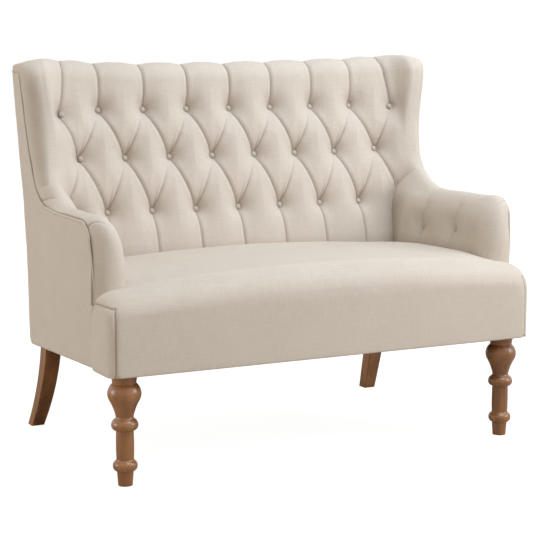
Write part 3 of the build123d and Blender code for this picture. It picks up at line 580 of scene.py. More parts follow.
def form_point(column, height):
    """Plan place of the padded form for columns counted from the middle, at given heights."""
    column, height = np.asarray(column, float), np.asarray(height, float)
    crest_x, crest_y, edge_y = (curve_value(WING[:, 0], WING[:, i], height) for i in (1, 2, 3))
    edge_x = side_half(edge_y, height) - 0.003
    wide, deep = edge_x - crest_x, edge_y - crest_y

    def pair(x, y):
        return np.stack([np.broadcast_to(x, height.shape), np.broadcast_to(y, height.shape)], axis=1)

    points = [
        pair(0.300, raked_depth(height, PUFF)),
        pair(FLAT_HALF, raked_depth(height, PUFF)),
        pair(0.453, raked_depth(height, PUFF + 0.007)),
        pair(0.505, raked_depth(height, PUFF + 0.024)),
        pair(crest_x - 0.018, crest_y + 0.0048),
        pair(crest_x, crest_y + 0.001),
        *[pair(crest_x + wide * across, crest_y + deep * back) for _, across, back in ROUND],
        pair(edge_x, edge_y),
        pair(side_half(edge_y + 0.012, height) - 0.005, edge_y + 0.012),
        pair(side_half(edge_y + 0.03, height) - 0.006, edge_y + 0.03),
    ]
    crest = FLAT + TURN + RISE
    stops = [0, FLAT, FLAT + TURN / 2, FLAT + TURN, crest - RISE * 0.42, crest]
    stops += [*[crest + NOSE * share for share, _, _ in ROUND], crest + NOSE, COLUMNS, COLUMNS + 3]
    t = np.interp(column, stops, range(len(stops)))
    place = through(points, t)
    in_flat = column <= FLAT
    place[in_flat, 0] = column[in_flat] * FLAT_HALF / FLAT
    place[in_flat, 1] = raked_depth(height[in_flat], PUFF)
    return place


def column_value(column, values):
    """Value along the columns, given at the middle, the flat's end, the turn, the crest, twice beyond it,
    and at the edge and the end."""
    crest = FLAT + TURN + RISE
    stops = [0, FLAT, FLAT + TURN, crest, crest + NOSE * 0.42, crest + NOSE * 0.76, crest + NOSE, COLUMNS]
    return curve_value(stops, values, column)


print("grid", 2 * COLUMNS, "by", ROWS)

# %% [markdown]
# Then the buttons. Nine, eight and nine of them stand in three rows, 126 mm apart. The pleats run from each
# button to its neighbours in the next row, up over the top edge from the top row, and down to the seat from
# the bottom row.

# %% Buttons and pleats
PITCH = 0.126
END_X, END_OUT = 0.488, 0.036
# each button: across, up, and how far it stands in front of the plane of the buttons
TOP_ROW = [
    (-END_X, 0.114, 0.026),
    *[(k * PITCH, 0.128, 0.0) for k in range(-3, 4)],
    (END_X + 0.003, 0.119, END_OUT),
]
MIDDLE_ROW = [
    ((k + 0.5) * PITCH, 0.004 if k == 3 else 0.0, 0.009 if k in (-4, 3) else 0.0)
    for k in range(-4, 4)
]
LOW_ROW = [
    (-END_X, -0.118, END_OUT),
    *[(k * PITCH, -0.142, 0.0) for k in range(-3, 4)],
    (END_X + 0.004, -0.125, END_OUT),
]
BUTTONS = TOP_ROW + MIDDLE_ROW + LOW_ROW
print("buttons in the back", len(BUTTONS))

# %% [markdown]
# A pleat is a line on the flat pattern with a few facts: how deep it draws the cloth in at its middle and
# at its ends, how wide it is, how dark the shade painted along its bottom is, and whether it fades out
# upwards. On this settee the pleats that fall to the right stay deep all the way, and the others fade out
# upwards, so the two ways are made unlike here too. The pleats that fall to the right also get darker
# painted shade, which stands in for the way the light falls across them.

# %% Where the pleats run
BACK_END = 0.48  # m, beyond this a button belongs to the wing


def form_out(across):
    """How far the padded form stands in front of the button plane, across the back."""
    turn = [FLAT_HALF, 0.453, END_X, 0.505]
    return np.interp(np.abs(across), turn, [PUFF, PUFF + 0.007, PUFF + 0.017, PUFF + 0.024])


def straight(start, end, count=14):
    """Points of the straight line on the flat pattern from start to end."""
    t = np.linspace(0, 1, count)[:, None]
    start, end = np.array(start[:2]), np.array(end[:2])
    return start + (end - start) * t


# Each pleat has its line, its depth in the middle, at the start and at the end, its half width, its painted
# shade, and whether it fades upwards.
pleats = []
for index, middle in enumerate(MIDDLE_ROW):
    for row in (TOP_ROW, LOW_ROW):
        for other in (row[index], row[index + 1]):
            ends = [form_out(b[0]) - b[2] for b in (other, middle)]
            outer = abs(other[0]) > BACK_END
            falls_right = (other[0] - middle[0]) * (other[1] - middle[1]) < 0
            deep = (0.0058 if falls_right else 0.0042) * (0.8 if outer else 1.0)
            # painted shade: pleats that fall to the left get lighter painted shade than those that fall to
            # the right
            painted_shade_strength = 1.0 if falls_right else 0.6
            pleats.append((straight(other, middle), deep, *ends, 0.011, painted_shade_strength, not falls_right))
            if not falls_right and not outer:  # a second short fold beside the lower button
                low, high = sorted((other, middle), key=lambda place: place[1])
                beside = (low[0] + (high[0] - low[0]) * 0.24, low[1] + (high[1] - low[1]) * 0.50)
                pleats.append((straight(low, beside), 0.0024, 0.004, 0.0, 0.007, 0.5, True))
for across, up, out in TOP_ROW:
    lean = across if abs(across) < BACK_END else math.copysign(0.474, across)
    over_top = straight((across, up), (lean, 0.250))
    pleats.append((over_top, 0.0055, form_out(across) - out, 0.0035, 0.011, 0.9, False))
    pleats.append((straight((lean, 0.250), (lean, 0.42)), 0.0022, 0.0028, 0.0015, 0.009, 0.6, False))
for across, up, out in LOW_ROW[1:-1]:
    to_seat = straight((across, up), (across, -0.32))
    pleats.append((to_seat, 0.0050, form_out(across) - out, 0.004, 0.010, 0.9, False))
print("pleats", len(pleats))

# %% [markdown]
# Now the rule that draws the cloth in. Near a button the surface sinks along a soft bell, near a pleat it
# sinks in a wide shallow valley with a sharp narrow fold in its middle, and the deepest of these wins at
# each place. The same rule says how much shade is painted into the fold, because a crease holds shade that
# a small bump alone would not show.

# %% How far the cloth is drawn in
def distance_to_line(across, up, line):
    """Gap to a line given by its points, how far along it (0 to 1) the nearest place is, and its length."""
    best = np.full(across.shape, 9.0)
    along = np.zeros(across.shape)
    lengths = np.hypot(*np.diff(line, axis=0).T)
    total, gone = lengths.sum(), 0.0
    for start, end, length in zip(line, line[1:], lengths):
        step = (end - start) / length
        t = np.clip((across - start[0]) * step[0] + (up - start[1]) * step[1], 0, length)
        gap = np.hypot(across - start[0] - t * step[0], up - start[1] - t * step[1])
        closer = gap < best
        best = np.where(closer, gap, best)
        along = np.where(closer, (gone + t) / total, along)
        gone += length
    return best, along, total


def drawn_in(across, up):
    """How deep buttons and pleats draw the cloth in, and how much shade is painted there, at places of the
    pattern.
    """
    pleat_depth = np.zeros_like(across)
    valley = np.zeros_like(across)
    dark = np.zeros_like(across)
    for line, middle, deep0, deep1, width, shade, fades in pleats:
        low, high = line.min(0) - 0.07, line.max(0) + 0.07
        near = np.nonzero((across > low[0]) & (across < high[0]) & (up > low[1]) & (up < high[1]))[0]
        if len(near) == 0:
            continue
        gap, t, run = distance_to_line(across[near], up[near], line)
        near0 = np.clip(1 - t * run / 0.034, 0, 1) ** 1.5
        near1 = np.clip(1 - (1 - t) * run / 0.034, 0, 1) ** 1.5
        floor = middle + 0.30 * (
            np.maximum(deep0 - middle, 0) * near0 + np.maximum(deep1 - middle, 0) * near1
        )
        wide = width + 0.006 * np.maximum(near0, near1)
        lower_end = 1 - t if line[0][1] < line[-1][1] else t
        fade = np.clip((lower_end - 0.08) / 0.55, 0, 1) if fades else 1.0
        pleat_depth[near] = np.maximum(pleat_depth[near], fade * floor * np.clip(1 - gap / wide, 0, 1) ** 2.2)
        valley[near] = np.maximum(
            valley[near], 0.0045 * (0.5 + 0.5 * np.cos(np.clip(gap / 0.050, 0, 1) * math.pi))
        )
        # painted shade along the bottom of the pleat, darkest towards its lower end
        shade = fade * (shade + (1 - shade) * lower_end**2)
        dark[near] = np.maximum(dark[near], np.exp(-((gap / 0.0024) ** 2)) * 0.75 * shade)
    dimple = np.zeros_like(across)
    for x, y, out in BUTTONS:
        deep = form_out(x) - out
        radius = np.maximum(np.hypot(across - x, (up - y) * 0.92) - 0.005, 0)
        swell = 1 - np.exp(-((radius / 0.027) ** 1.25))
        dimple = np.maximum(dimple, deep * (1 - swell))
        # painted shade round each button: a dark ring at the edge of the dimple and a soft halo
        dark = np.maximum(dark, 0.50 * np.clip(1 - np.abs(radius - 0.003) / 0.007, 0, 1))
        dark = np.maximum(dark, 0.16 * np.exp(-((radius / 0.020) ** 2)))
    rest = np.clip(1 - dimple / PUFF, 0, 1)
    return dimple + valley * rest + pleat_depth * (0.35 + 0.65 * rest), dark


at_button = drawn_in(np.array([0.0]), np.array([0.128]))[0][0]
print("drawn in at the middle button of the top row", round(float(at_button * 1000), 1), "mm")

# %% [markdown]
# ### From a flat grid to the form
# The cloth starts as a flat grid, as it lies on the cutting table. Its rows then go up the front, over the
# rolled top edge, back across the top, and down a little behind it. First the edges: each column knows
# where the cloth begins above the seat or the arm, how high it reaches, and how large the roll over its top
# is.

# %% The grid and the edges of the cloth
def flat_grid(name, across, up):
    """Mesh of a flat grid, with the column and the row of each of its vertices."""
    edit = bmesh.new()
    bmesh.ops.create_grid(edit, x_segments=across, y_segments=up, size=1)
    mesh = bpy.data.meshes.new(name)
    edit.to_mesh(mesh)
    edit.free()
    share = (mesh_points(mesh) + 1) / 2
    return mesh, np.rint(share[:, 0] * across).astype(int), np.rint(share[:, 1] * up).astype(int)


# Across at the arm's height, and where the cloth begins there: it dives behind the arm beyond 0.478.
BOTTOM_EDGE = (
    (0, 0.452),
    (0.478, 0.452),
    (0.496, 0.590),
    (0.515, 0.636),
    (0.535, 0.656),
    (0.556, 0.658),
    (0.575, 0.645),
    (0.590, 0.622),
)
back_mesh, grid_column, grid_row = flat_grid("inside_back_and_wings", 2 * COLUMNS, ROWS)
grid_column -= COLUMNS
columns = np.arange(COLUMNS + 1)
low_x = form_point(columns, np.full(COLUMNS + 1, 0.62))[:, 0]
bottom = np.interp(low_x, *np.transpose(BOTTOM_EDGE))
apex = column_value(columns, [0.973, 0.979, 0.986, 0.983, 0.977, 0.969, 0.956, 0.938])
roll_up = column_value(columns, [0.050, 0.050, 0.052, 0.044, 0.032, 0.020, 0.010, 0.005])
roll_back = column_value(columns, [0.046, 0.046, 0.042, 0.038, 0.030, 0.018, 0.008, 0.004])
rear_top = column_value(columns, [0.955, 0.957, 0.962, 0.973, 0.973, 0.969, 0.960, 0.936])
top_front = form_point(columns, apex - roll_up)
squeeze = np.maximum(top_front[:, 0] - FLAT_HALF, 0)
squeeze /= squeeze.max()
print("highest place of the top edge", round(float(apex.max()), 3), "m")

# %% [markdown]
# Row by row the grid is laid over the form. Beside the place in space, each point keeps its place on the flat
# pattern, where the buttons and pleats are marked.

# %% Lay the rows over the form
place = np.zeros((COLUMNS + 1, ROWS + 1, 3))
pattern = np.zeros((COLUMNS + 1, ROWS + 1, 2))
for row in range(ROWS + 1):
    if row <= FRONT_ROWS:
        height = bottom + (apex - roll_up - bottom) * row / FRONT_ROWS
        plan = form_point(columns, height)
        place[:, row] = np.column_stack([plan, height])
        up = (place[:, row] - BUTTON_ORIGIN) @ RAKE_UP
    elif row <= FRONT_ROWS + ROLL_ROWS:
        angle = (row - FRONT_ROWS) / ROLL_ROWS * math.pi / 2
        turned = math.sin(angle) ** 0.9
        lean_back = 0.22 * roll_up * math.sin(angle)
        place[:, row, 0] = top_front[:, 0]
        place[:, row, 1] = top_front[:, 1] + lean_back + roll_back * (1 - math.cos(angle) ** 0.9)
        place[:, row, 2] = apex - roll_up + roll_up * turned
        up = pattern[:, FRONT_ROWS, 1] + (roll_up + roll_back) / 2 * angle
    elif row <= FRONT_ROWS + ROLL_ROWS + TOP_ROWS:
        t = (row - FRONT_ROWS - ROLL_ROWS) / TOP_ROWS
        start = place[:, FRONT_ROWS + ROLL_ROWS]
        back_y = rear_depth(rear_top) - 0.008
        place[:, row, 1] = start[:, 1] + (back_y - start[:, 1]) * t
        place[:, row, 2] = start[:, 2] + (rear_top - start[:, 2]) * (0.25 * t + 0.75 * t**2)
        inside = side_half(place[:, row, 1], place[:, row, 2]) - 0.003
        level_x = np.minimum(start[:, 0], FLAT_HALF) + squeeze * (inside - FLAT_HALF)
        place[:, row, 0] = start[:, 0] + (level_x - start[:, 0]) * min(1, 3 * t)
        up = pattern[:, FRONT_ROWS + ROLL_ROWS, 1] + np.abs(place[:, row, 1] - start[:, 1])
    else:
        angle = (row - FRONT_ROWS - ROLL_ROWS - TOP_ROWS) / REAR_ROWS * math.pi / 2
        start = place[:, FRONT_ROWS + ROLL_ROWS + TOP_ROWS]
        place[:, row, 0] = start[:, 0]
        place[:, row, 1] = start[:, 1] + 0.007 * math.sin(angle)
        place[:, row, 2] = start[:, 2] - (start[:, 2] - 0.941) * (1 - math.cos(angle))
        up = pattern[:, FRONT_ROWS + ROLL_ROWS + TOP_ROWS, 1] + 0.008 * angle
    pattern[:, row, 0] = top_front[:, 0] if row > FRONT_ROWS else place[:, row, 0]
    pattern[:, row, 1] = up
print(
    "the cloth runs", round(float(pattern[0, -1, 1] - pattern[0, 0, 1]), 3),
    "m from the seat to behind the top",
)

# %% [markdown]
# Every point now moves inwards, along the way that the surface faces, by what the rule says. Three more
# things happen at the edges: the cloth is tucked in where it meets the arm, it sinks in the corner between
# the back and the arm, and shade is painted where little light gets in: down in that corner, along the seat
# and on the flank of the wing, far more on the left wing than on the right. The wings have no buttons, so
# the rule fades out beyond the turn.

# %% Draw the buttons and pleats in
def fading(value, end, run):
    """From 1 down to 0 as the value rises to end, over the last run of it."""
    return np.clip((end - value) / run, 0, 1)


def rising(value, start, run):
    """From 0 up to 1 as the value rises from start, over a run."""
    return np.clip((value - start) / run, 0, 1)


across_at, height_at = place[..., 0], place[..., 2]
outward = np.cross(np.gradient(place, axis=0), np.gradient(place, axis=1))
outward /= np.linalg.norm(outward, axis=2, keepdims=True) + 1e-12
beyond = rising(columns, FLAT + TURN, RISE)[:, None]
lip = (
    np.clip(1 - (height_at - bottom[:, None]) / 0.016, 0, 1) ** 2
    * rising(columns, FLAT + TURN * 0.9, 8)[:, None]
)
corner = rising(across_at, 0.432, 0.045) ** 2 * fading(height_at, 0.615, 0.05) * (across_at < 0.52)
nook = rising(across_at, 0.405, 0.055) * fading(height_at, 0.650, 0.05)
# painted shade: darker towards the seat and in the corner between the back and the arm
seam_shade = 0.12 * fading(height_at, 0.620, 0.12) + 0.20 * fading(height_at, 0.505, 0.03) + 0.42 * nook
nose_share = (columns - FLAT - TURN - RISE) / NOSE
# painted shade on the flank of each wing
flank = np.exp(-(((nose_share - 0.42) / 0.26) ** 2))[:, None] * fading(height_at, 0.950, 0.03)
near_top = np.clip(across_at / 0.300, 0, 1) * rising(height_at, 0.800, 0.150)
sides = {}
# the left wing's flank gets far more painted shade than the right wing's
for sign, uneven, flank_shade in ((-1, -0.003, 0.22), (1, 0.006, 0.05)):
    depth, dark = drawn_in(pattern[..., 0].ravel() * sign, pattern[..., 1].ravel())
    depth = depth.reshape(place.shape[:2]) * (1 - beyond) ** 2 + 0.005 * lip + 0.018 * corner
    drawn = place - outward * depth[..., None]
    drawn[..., 2] += uneven * near_top  # hand work is never quite even: one side stands a little higher
    dark = np.maximum(dark.reshape(place.shape[:2]), seam_shade) * (1 - beyond) + flank_shade * flank
    sides[sign] = (drawn * [sign, 1, 1], np.minimum(dark, 1))
print("deepest dimple", round(float(depth.max() * 1000), 1), "mm")

# %% [markdown]
# The two halves go back into the one grid, with the painted shade value at each vertex and the weave laid
# along the pattern, so that the threads bend with the cloth. Then the faces are turned outwards and the free
# edges get their thickness.

# %% The cloth of the back and the wings
side = np.where(grid_column < 0, -1.0, 1.0)
column = np.abs(grid_column)
left = (side < 0)[:, None]
move_points(back_mesh, np.where(left, sides[-1][0][column, grid_row], sides[1][0][column, grid_row]))
painted_shade = back_mesh.attributes.new("painted_shade", "FLOAT", "POINT")
painted_shade.data.foreach_set(
    "value", np.where(left[:, 0], sides[-1][1][column, grid_row], sides[1][1][column, grid_row])
)
weave = back_mesh.uv_layers.new(name="weave")
flat_x = np.cumsum(np.r_[0, np.linalg.norm(np.diff(place[:, FRONT_ROWS // 2], axis=0), axis=1)])
flat = np.column_stack([flat_x[column] * side, pattern[column, grid_row, 1]])
weave.data.foreach_set("uv", flat[corner_vertices(back_mesh)].ravel())

edit = bmesh.new()
edit.from_mesh(back_mesh)
bmesh.ops.recalc_face_normals(edit, faces=edit.faces)
middle_face = min(edit.faces, key=lambda f: (f.calc_center_median() - Vector((0, 0.17, 0.7))).length)
if middle_face.normal.y > 0:
    bmesh.ops.reverse_faces(edit, faces=edit.faces)
edit.to_mesh(back_mesh)
edit.free()
inside_back = new_piece("inside_back_and_wings", back_mesh)
give_thickness(inside_back, COVER_THICK, edge_only=True)
give_finish(inside_back, CLOTH)
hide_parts("back_pad", "wing_pad_left", "wing_pad_right")
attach(inside_back, "root")
print("back faces", len(inside_back.data.polygons))

# %% [markdown]
# ## The arms
# An arm pad is one cloth: up the inside face, over the crest, round the front roll, and out to the seam
# along the outside panel. A net of listed points gives its form, station by station from the wing seam to
# the front, as a loft would. A smooth surface is then run through the net, and two buttons and their
# pleats are drawn in.

# %% The net of the right arm, rear seam first, each from the seat up over the crest to the outside seam
ARM_NET = np.array(
    [  # across, back and height in millimetres
        [  # behind the wing, out of sight
            (461, 165, 420), (461, 161, 500), (470, 158, 562), (484, 157, 610), (505, 153, 648),
            (531, 138, 684), (556, 138, 690), (577, 152, 676), (588, 176, 650),
        ],
        [  # at the seam with the wing
            (461, 128, 420), (461, 124, 500), (468, 121, 560), (482, 119, 603), (503, 106, 636),
            (530, 88, 659), (556, 94, 669), (578, 122, 668), (589, 160, 655),
        ],
        [  # under the wing's sweep
            (464, 85, 420), (467, 80, 500), (476, 73, 560), (491, 62, 598), (511, 52, 618),
            (533, 46, 634), (556, 48, 638.5), (577, 72, 637), (590, 112, 626),
        ],
        [  # at the rear button
            (477, 0, 420), (481, 0, 500), (491, 0, 560), (503, 0, 592), (518, 0, 612),
            (537, 0, 622.5), (560, 0, 624.5), (580, 10, 617), (590, 20, 610),
        ],
        [  # between the buttons
            (483, -100, 420), (489, -100, 500), (500, -100, 560), (512, -100, 592), (526, -100, 611.5),
            (543, -100, 621.5), (563, -100, 623.5), (581, -100, 617), (590, -100, 609),
        ],
        [  # in front of the front button
            (488, -190, 420), (493, -190, 500), (503, -190, 560), (516, -190, 592), (529, -190, 611),
            (545, -190, 620.5), (565, -190, 622), (582, -190, 617), (590, -190, 609),
        ],
        [  # where the front roll begins
            (494, -236, 420), (497, -240, 500), (504, -239, 556), (517, -238, 590), (530, -236, 609),
            (546, -233, 622), (566, -229, 624), (582, -222, 616), (589, -214, 608.5),
        ],
        [  # round the roll
            (506, -265, 420), (508, -270, 500), (514, -270, 552), (525, -268, 584), (538, -264, 603),
            (553, -257, 617), (571, -248, 619.5), (584, -238, 614), (589, -228, 606),
        ],
        [  # on the front of the roll
            (530, -280, 420), (531, -285, 500), (535, -285, 548), (543, -281, 578), (553, -274, 599),
            (565, -265, 610), (577, -256, 612), (585, -247, 607), (589, -240, 601),
        ],
        [  # towards the outside
            (563, -281, 420), (561, -285, 500), (561, -282, 545), (565, -277, 573), (571, -270, 592),
            (577, -262, 602), (583, -255, 604), (587, -251, 596), (589, -248, 594),
        ],
        [  # at the outside seam
            (590, -264, 420), (589, -267, 500), (588.5, -263, 540), (589.5, -260, 563), (590.5, -258, 576),
            (591, -256.5, 583), (591, -255, 586), (591, -253.5, 588), (591, -252, 590),
        ],
    ],
    float,
) / 1000
# the outer columns follow the outside cover, wherever it is
at_cover = side_half(ARM_NET[:, 8, 1], ARM_NET[:, 8, 2]) - 0.0005
ARM_NET[:, :, 0] += (at_cover - ARM_NET[:, 8, 0])[:, None] * np.array([0, 0, 0, 0, 0, 0.1, 0.35, 0.8, 1])
print("stations and points of the arm's net", ARM_NET.shape[:2])

# %% [markdown]
# The net is coarse, so a smooth surface is run through it, first along the arm and then across. Its points
# are then spread evenly, so that a fold is drawn as finely at the front as in the middle.

# %% A smooth surface through the net
def net_surface(net, along, across):
    """Smooth surface through a net of points, read at the given places along and across."""

    def run_through(rows, t):
        last = len(rows) - 1
        index = np.clip(np.floor(t).astype(int), 0, last - 1)
        local = (t - index).reshape(-1, *([1] * (rows.ndim - 1)))
        around = (rows[np.clip(index + k, 0, last)] for k in (-1, 0, 1, 2))
        return smooth_step(*around, local)

    rows = run_through(net, along)
    return np.swapaxes(run_through(np.swapaxes(rows, 0, 1), across), 0, 1)


def even_steps(net, axis, line, spacing):
    """Places along one axis of the net, stepping evenly over the surface on a line of the other axis."""
    rows = net if axis == 0 else np.swapaxes(net, 0, 1)
    fine = np.linspace(0, len(rows) - 1, 600)
    if axis == 0:
        curve = net_surface(net, fine, np.array([line]))[:, 0]
    else:
        curve = net_surface(net, np.array([line]), fine)[0]
    run = np.r_[0, np.cumsum(np.linalg.norm(np.diff(curve, axis=0), axis=1))]
    return np.interp(np.linspace(0, run[-1], int(run[-1] / spacing) + 1), run, fine)


ARM_STEP = 0.0034
along_arm = even_steps(ARM_NET, 0, 4.0, ARM_STEP)
across_arm = even_steps(ARM_NET, 1, 3.0, ARM_STEP)
surface = net_surface(ARM_NET, along_arm, across_arm)
print("arm grid", surface.shape[:2])

# %% [markdown]
# The arm's two buttons are drawn in as those of the back are. Each has a pleat that runs from it up towards
# the crest and one that falls to the seat. They bend a little, because the cloth is pulled forward there.

# %% Draw in the arm's buttons
ARM_BUTTONS = ((0.010, 0.524), (-0.126, 0.530))  # how far back and how high
ARM_DEEP = 0.015
RISING_ROWS = 60  # rows up the inside face, where the height still grows
steps = np.linalg.norm(np.diff(surface, axis=1), axis=2)
girth = np.concatenate([np.zeros((len(along_arm), 1)), np.cumsum(steps, axis=1)], axis=1)
depth_at, level = surface[..., 1], surface[..., 2]
outward = np.cross(np.gradient(surface, axis=0), np.gradient(surface, axis=1))
outward /= np.linalg.norm(outward, axis=2, keepdims=True) + 1e-12
if outward[len(along_arm) // 3, len(across_arm) // 3, 0] > 0:
    outward = -outward
arm_depth = np.zeros(level.shape)
arm_dark = np.zeros(level.shape)
for button_y, button_z in ARM_BUTTONS:
    station = np.abs(surface[:, 0, 1] - button_y).argmin()
    button_girth = np.interp(button_z, level[station][:RISING_ROWS], girth[station][:RISING_ROWS])
    rise = girth - button_girth
    above, below = np.clip(rise, 0, None), np.clip(-rise, 0, None)
    bend = (
        0.004 * np.sin(np.clip(above / 0.075, 0, 1) * 2 * math.pi)
        - 0.012 * np.clip(above / 0.13, 0, 1) ** 2
    )
    centre = button_y + bend + 0.016 * np.clip(below / 0.06, 0, 1)
    gap = np.abs(depth_at - centre)
    reach = np.clip(1 - above / 0.115, 0, 1) ** 0.8 * np.clip(1 - below / 0.2, 0, 1)
    near = np.exp(-((np.abs(rise) / 0.022) ** 2))
    pleat = (0.0035 + 0.004 * near) * reach * np.clip(1 - gap / (0.010 + 0.006 * near), 0, 1) ** 1.9
    vale = 0.0075 * reach * (0.5 + 0.5 * np.cos(np.clip(gap / 0.045, 0, 1) * math.pi))
    radius = np.maximum(np.hypot(depth_at - button_y, rise) - 0.005, 0)
    dimple = ARM_DEEP * np.exp(-((radius / 0.021) ** 1.25))
    rest = np.clip(1 - dimple / ARM_DEEP, 0, 1)
    arm_depth = np.maximum(arm_depth, dimple + rest * vale + pleat * (0.4 + 0.6 * rest))
    # painted shade along each pleat and round each button
    arm_dark = np.maximum(arm_dark, np.clip(1 - gap / 0.0030, 0, 1) * reach * 0.45)
    arm_dark = np.maximum(arm_dark, 0.35 * np.clip(1 - radius / 0.008, 0, 1))
print("arm drawn in by up to", round(float(arm_depth.max() * 1000), 1), "mm")

# %% [markdown]
# Two short pleats finish the arm: one where the cloth is gathered round the front roll, and one at the
# wing. Along the welt the cloth is tucked in, and shade is painted there, near the seat and in the corner
# with the back.

# %% Short pleats and painted shade of the arm
def arm_pleat(start, end, deep, width, shade):
    """Short pleat between two places of the net, with painted shade along it, fading at its inner end."""
    count = 12
    line = net_surface(ARM_NET, np.linspace(start[0], end[0], count), np.linspace(start[1], end[1], count))
    line = line[np.arange(count), np.arange(count)]
    gap = np.full(level.shape, 9.0)
    fade = np.zeros(level.shape)
    for k in range(count - 1):
        step = line[k + 1] - line[k]
        length = np.linalg.norm(step)
        t = np.clip(((surface - line[k]) @ step) / length**2, 0, 1)
        new_gap = np.linalg.norm(surface - line[k] - t[..., None] * step, axis=2)
        fade = np.where(new_gap < gap, 1 - ((k + t) / (count - 1)) ** 2, fade)
        gap = np.minimum(gap, new_gap)
    np.maximum(arm_depth, deep * fade * np.clip(1 - gap / width, 0, 1) ** 1.8, out=arm_depth)
    np.maximum(arm_dark, shade * fade * np.clip(1 - gap / 0.0024, 0, 1), out=arm_dark)


# the cloth is tucked in behind the welt and turns down beside the seam, and shade is painted there
tip = np.cumsum(np.linalg.norm(np.diff(surface, axis=0), axis=2)[::-1], axis=0)[::-1]
to_edge = np.minimum(girth[:, -1:] - girth, np.concatenate([tip, np.zeros((1, len(across_arm)))]))
arm_depth += 0.0022 * np.clip((0.0085 - to_edge) / 0.005, 0, 1)
arm_dark = np.maximum(arm_dark, 0.7 * np.clip((0.0090 - to_edge) / 0.004, 0, 1))
# painted shade on the inside face of the arm, darker towards the seat and towards the back
inner = (across_arm[None, :] < 5.6) * rising(depth_at, -0.262, 0.03)  # the inside face, up to the front roll
near_seat = 0.12 * fading(level, 0.600, 0.06) + 0.20 * fading(level, 0.500, 0.035)
near_back = 0.45 * rising(depth_at, 0.070, 0.040) * fading(level, 0.620, 0.04)
arm_dark = np.maximum(arm_dark, near_seat * inner)
arm_dark = np.maximum(arm_dark, near_back * inner)
arm_pleat((8.9, 7.9), (7.2, 3.6), 0.0026, 0.006, 0.8)
arm_pleat((1.85, 8.0), (1.95, 6.2), 0.0045, 0.011, 0.6)
surface = surface - outward * arm_depth[..., None]
print("darkest fold of the arm", round(float(arm_dark.max()), 2))

# %% The cloth of the arm
arm_mesh, column, row = flat_grid("arm_pad_right_cloth", len(along_arm) - 1, len(across_arm) - 1)
move_points(arm_mesh, surface[column, row])
painted_shade = arm_mesh.attributes.new("painted_shade", "FLOAT", "POINT")
painted_shade.data.foreach_set("value", arm_dark[column, row])
edit = bmesh.new()
edit.from_mesh(arm_mesh)
centre = Vector((0.54, -0.1, 0.52))
facing = sum((face.calc_center_median() - centre).dot(face.normal) for face in edit.faces)
if facing < 0:
    bmesh.ops.reverse_faces(edit, faces=edit.faces)
edit.to_mesh(arm_mesh)
edit.free()
arm_right = new_piece("arm_pad_right_cloth", arm_mesh)
give_thickness(arm_right, COVER_THICK)
print("arm faces", len(arm_right.data.polygons))

# %% [markdown]
# ## The padded seat
# The seat is a block of foam and wadding under a tight cover. The CAD solid already has its size, so it is
# copied, rebuilt as an even net of small squares and inflated a little by a cloth simulation: pressure
# rounds the edges and fills the top as wadding does. Points that touch the frame or a neighbour are pinned.

# %% Inflate a CAD solid
def stroked(shift, net, passes=40):
    """The moves of the points once a hand has stroked the small creases out, by averaging neighbours."""
    ends = np.empty(2 * len(net.edges), int)
    net.edges.foreach_get("vertices", ends)
    ends = ends.reshape(-1, 2)
    count = np.bincount(ends.ravel(), minlength=len(shift))[:, None]
    for _ in range(passes):
        around = np.zeros_like(shift)
        np.add.at(around, ends[:, 0], shift[ends[:, 1]])
        np.add.at(around, ends[:, 1], shift[ends[:, 0]])
        shift = 0.4 * shift + 0.6 * around / np.maximum(count, 1)
    return shift


def padded_copy(node, name, voxel, puff, held, pressure=4.0):
    """Copy of a soft node, remeshed, inflated as cloth with the held points pinned, moved at most puff."""
    mesh = nodes[node].data.copy()
    mesh.materials.clear()
    edit = bmesh.new()
    edit.from_mesh(mesh)
    bmesh.ops.remove_doubles(edit, verts=edit.verts, dist=1e-5)
    edit.to_mesh(mesh)
    edit.free()
    piece = new_piece(name, mesh)
    net = even_net(piece, voxel)
    start = mesh_points(net)
    pinned = piece.vertex_groups.new(name="held")
    keep = held(start)
    pinned.add([int(i) for i in np.nonzero(keep > 0.5)[0]], 1.0, "REPLACE")
    cloth = piece.modifiers.new("inflate", "CLOTH")
    cloth.settings.quality = 5
    cloth.settings.mass = 0.15
    cloth.settings.use_pressure = True
    cloth.settings.uniform_pressure_force = pressure
    cloth.settings.effector_weights.gravity = 0
    cloth.settings.vertex_group_mass = "held"
    cloth.settings.tension_stiffness = 12
    cloth.settings.compression_stiffness = 12
    cloth.settings.shear_stiffness = 6
    cloth.settings.bending_stiffness = 1.5
    cloth.collision_settings.use_collision = False
    frames = 20
    cloth.point_cache.frame_start = 1
    cloth.point_cache.frame_end = frames
    scene = bpy.context.scene
    for step in range(1, frames + 1):
        scene.frame_set(step)
    swollen = baked_mesh(piece)
    piece.modifiers.clear()
    scene.frame_set(1)
    shift = stroked(mesh_points(swollen) - start, net)
    length = np.linalg.norm(shift, axis=1, keepdims=True)
    limit = puff * np.clip(1 - 2 * keep, 0, 1)[:, None] ** 1.3
    shift *= np.minimum(1, limit / np.maximum(length, 1e-9))
    piece.data = swollen
    piece.vertex_groups.clear()
    move_points(swollen, start + shift)
    swollen.shade_smooth()
    print(
        name, len(start), "points, moved",
        round(float(np.linalg.norm(shift, axis=1).max() * 1000), 1), "mm",
    )
    return piece


def seat_held(points):
    """Where the seat touches rails, arms, back or underside, and how firmly its front is held flat."""
    x, y, z = points.T
    inner_pocket = (z < 0.362) & (y > -0.345) & (np.abs(x) < 0.565)
    at_arms = (np.abs(x) > np.interp(y, [-0.26, 0.166], [0.503, 0.468])) & (y > -0.266)
    at_back = y > raked_depth(z, 0.030)
    under = z < 0.268
    flat_front = fading(z, 0.470, 0.12) * (y < -0.266)
    return np.maximum((inner_pocket | at_arms | at_back | under).astype(float), flat_front)


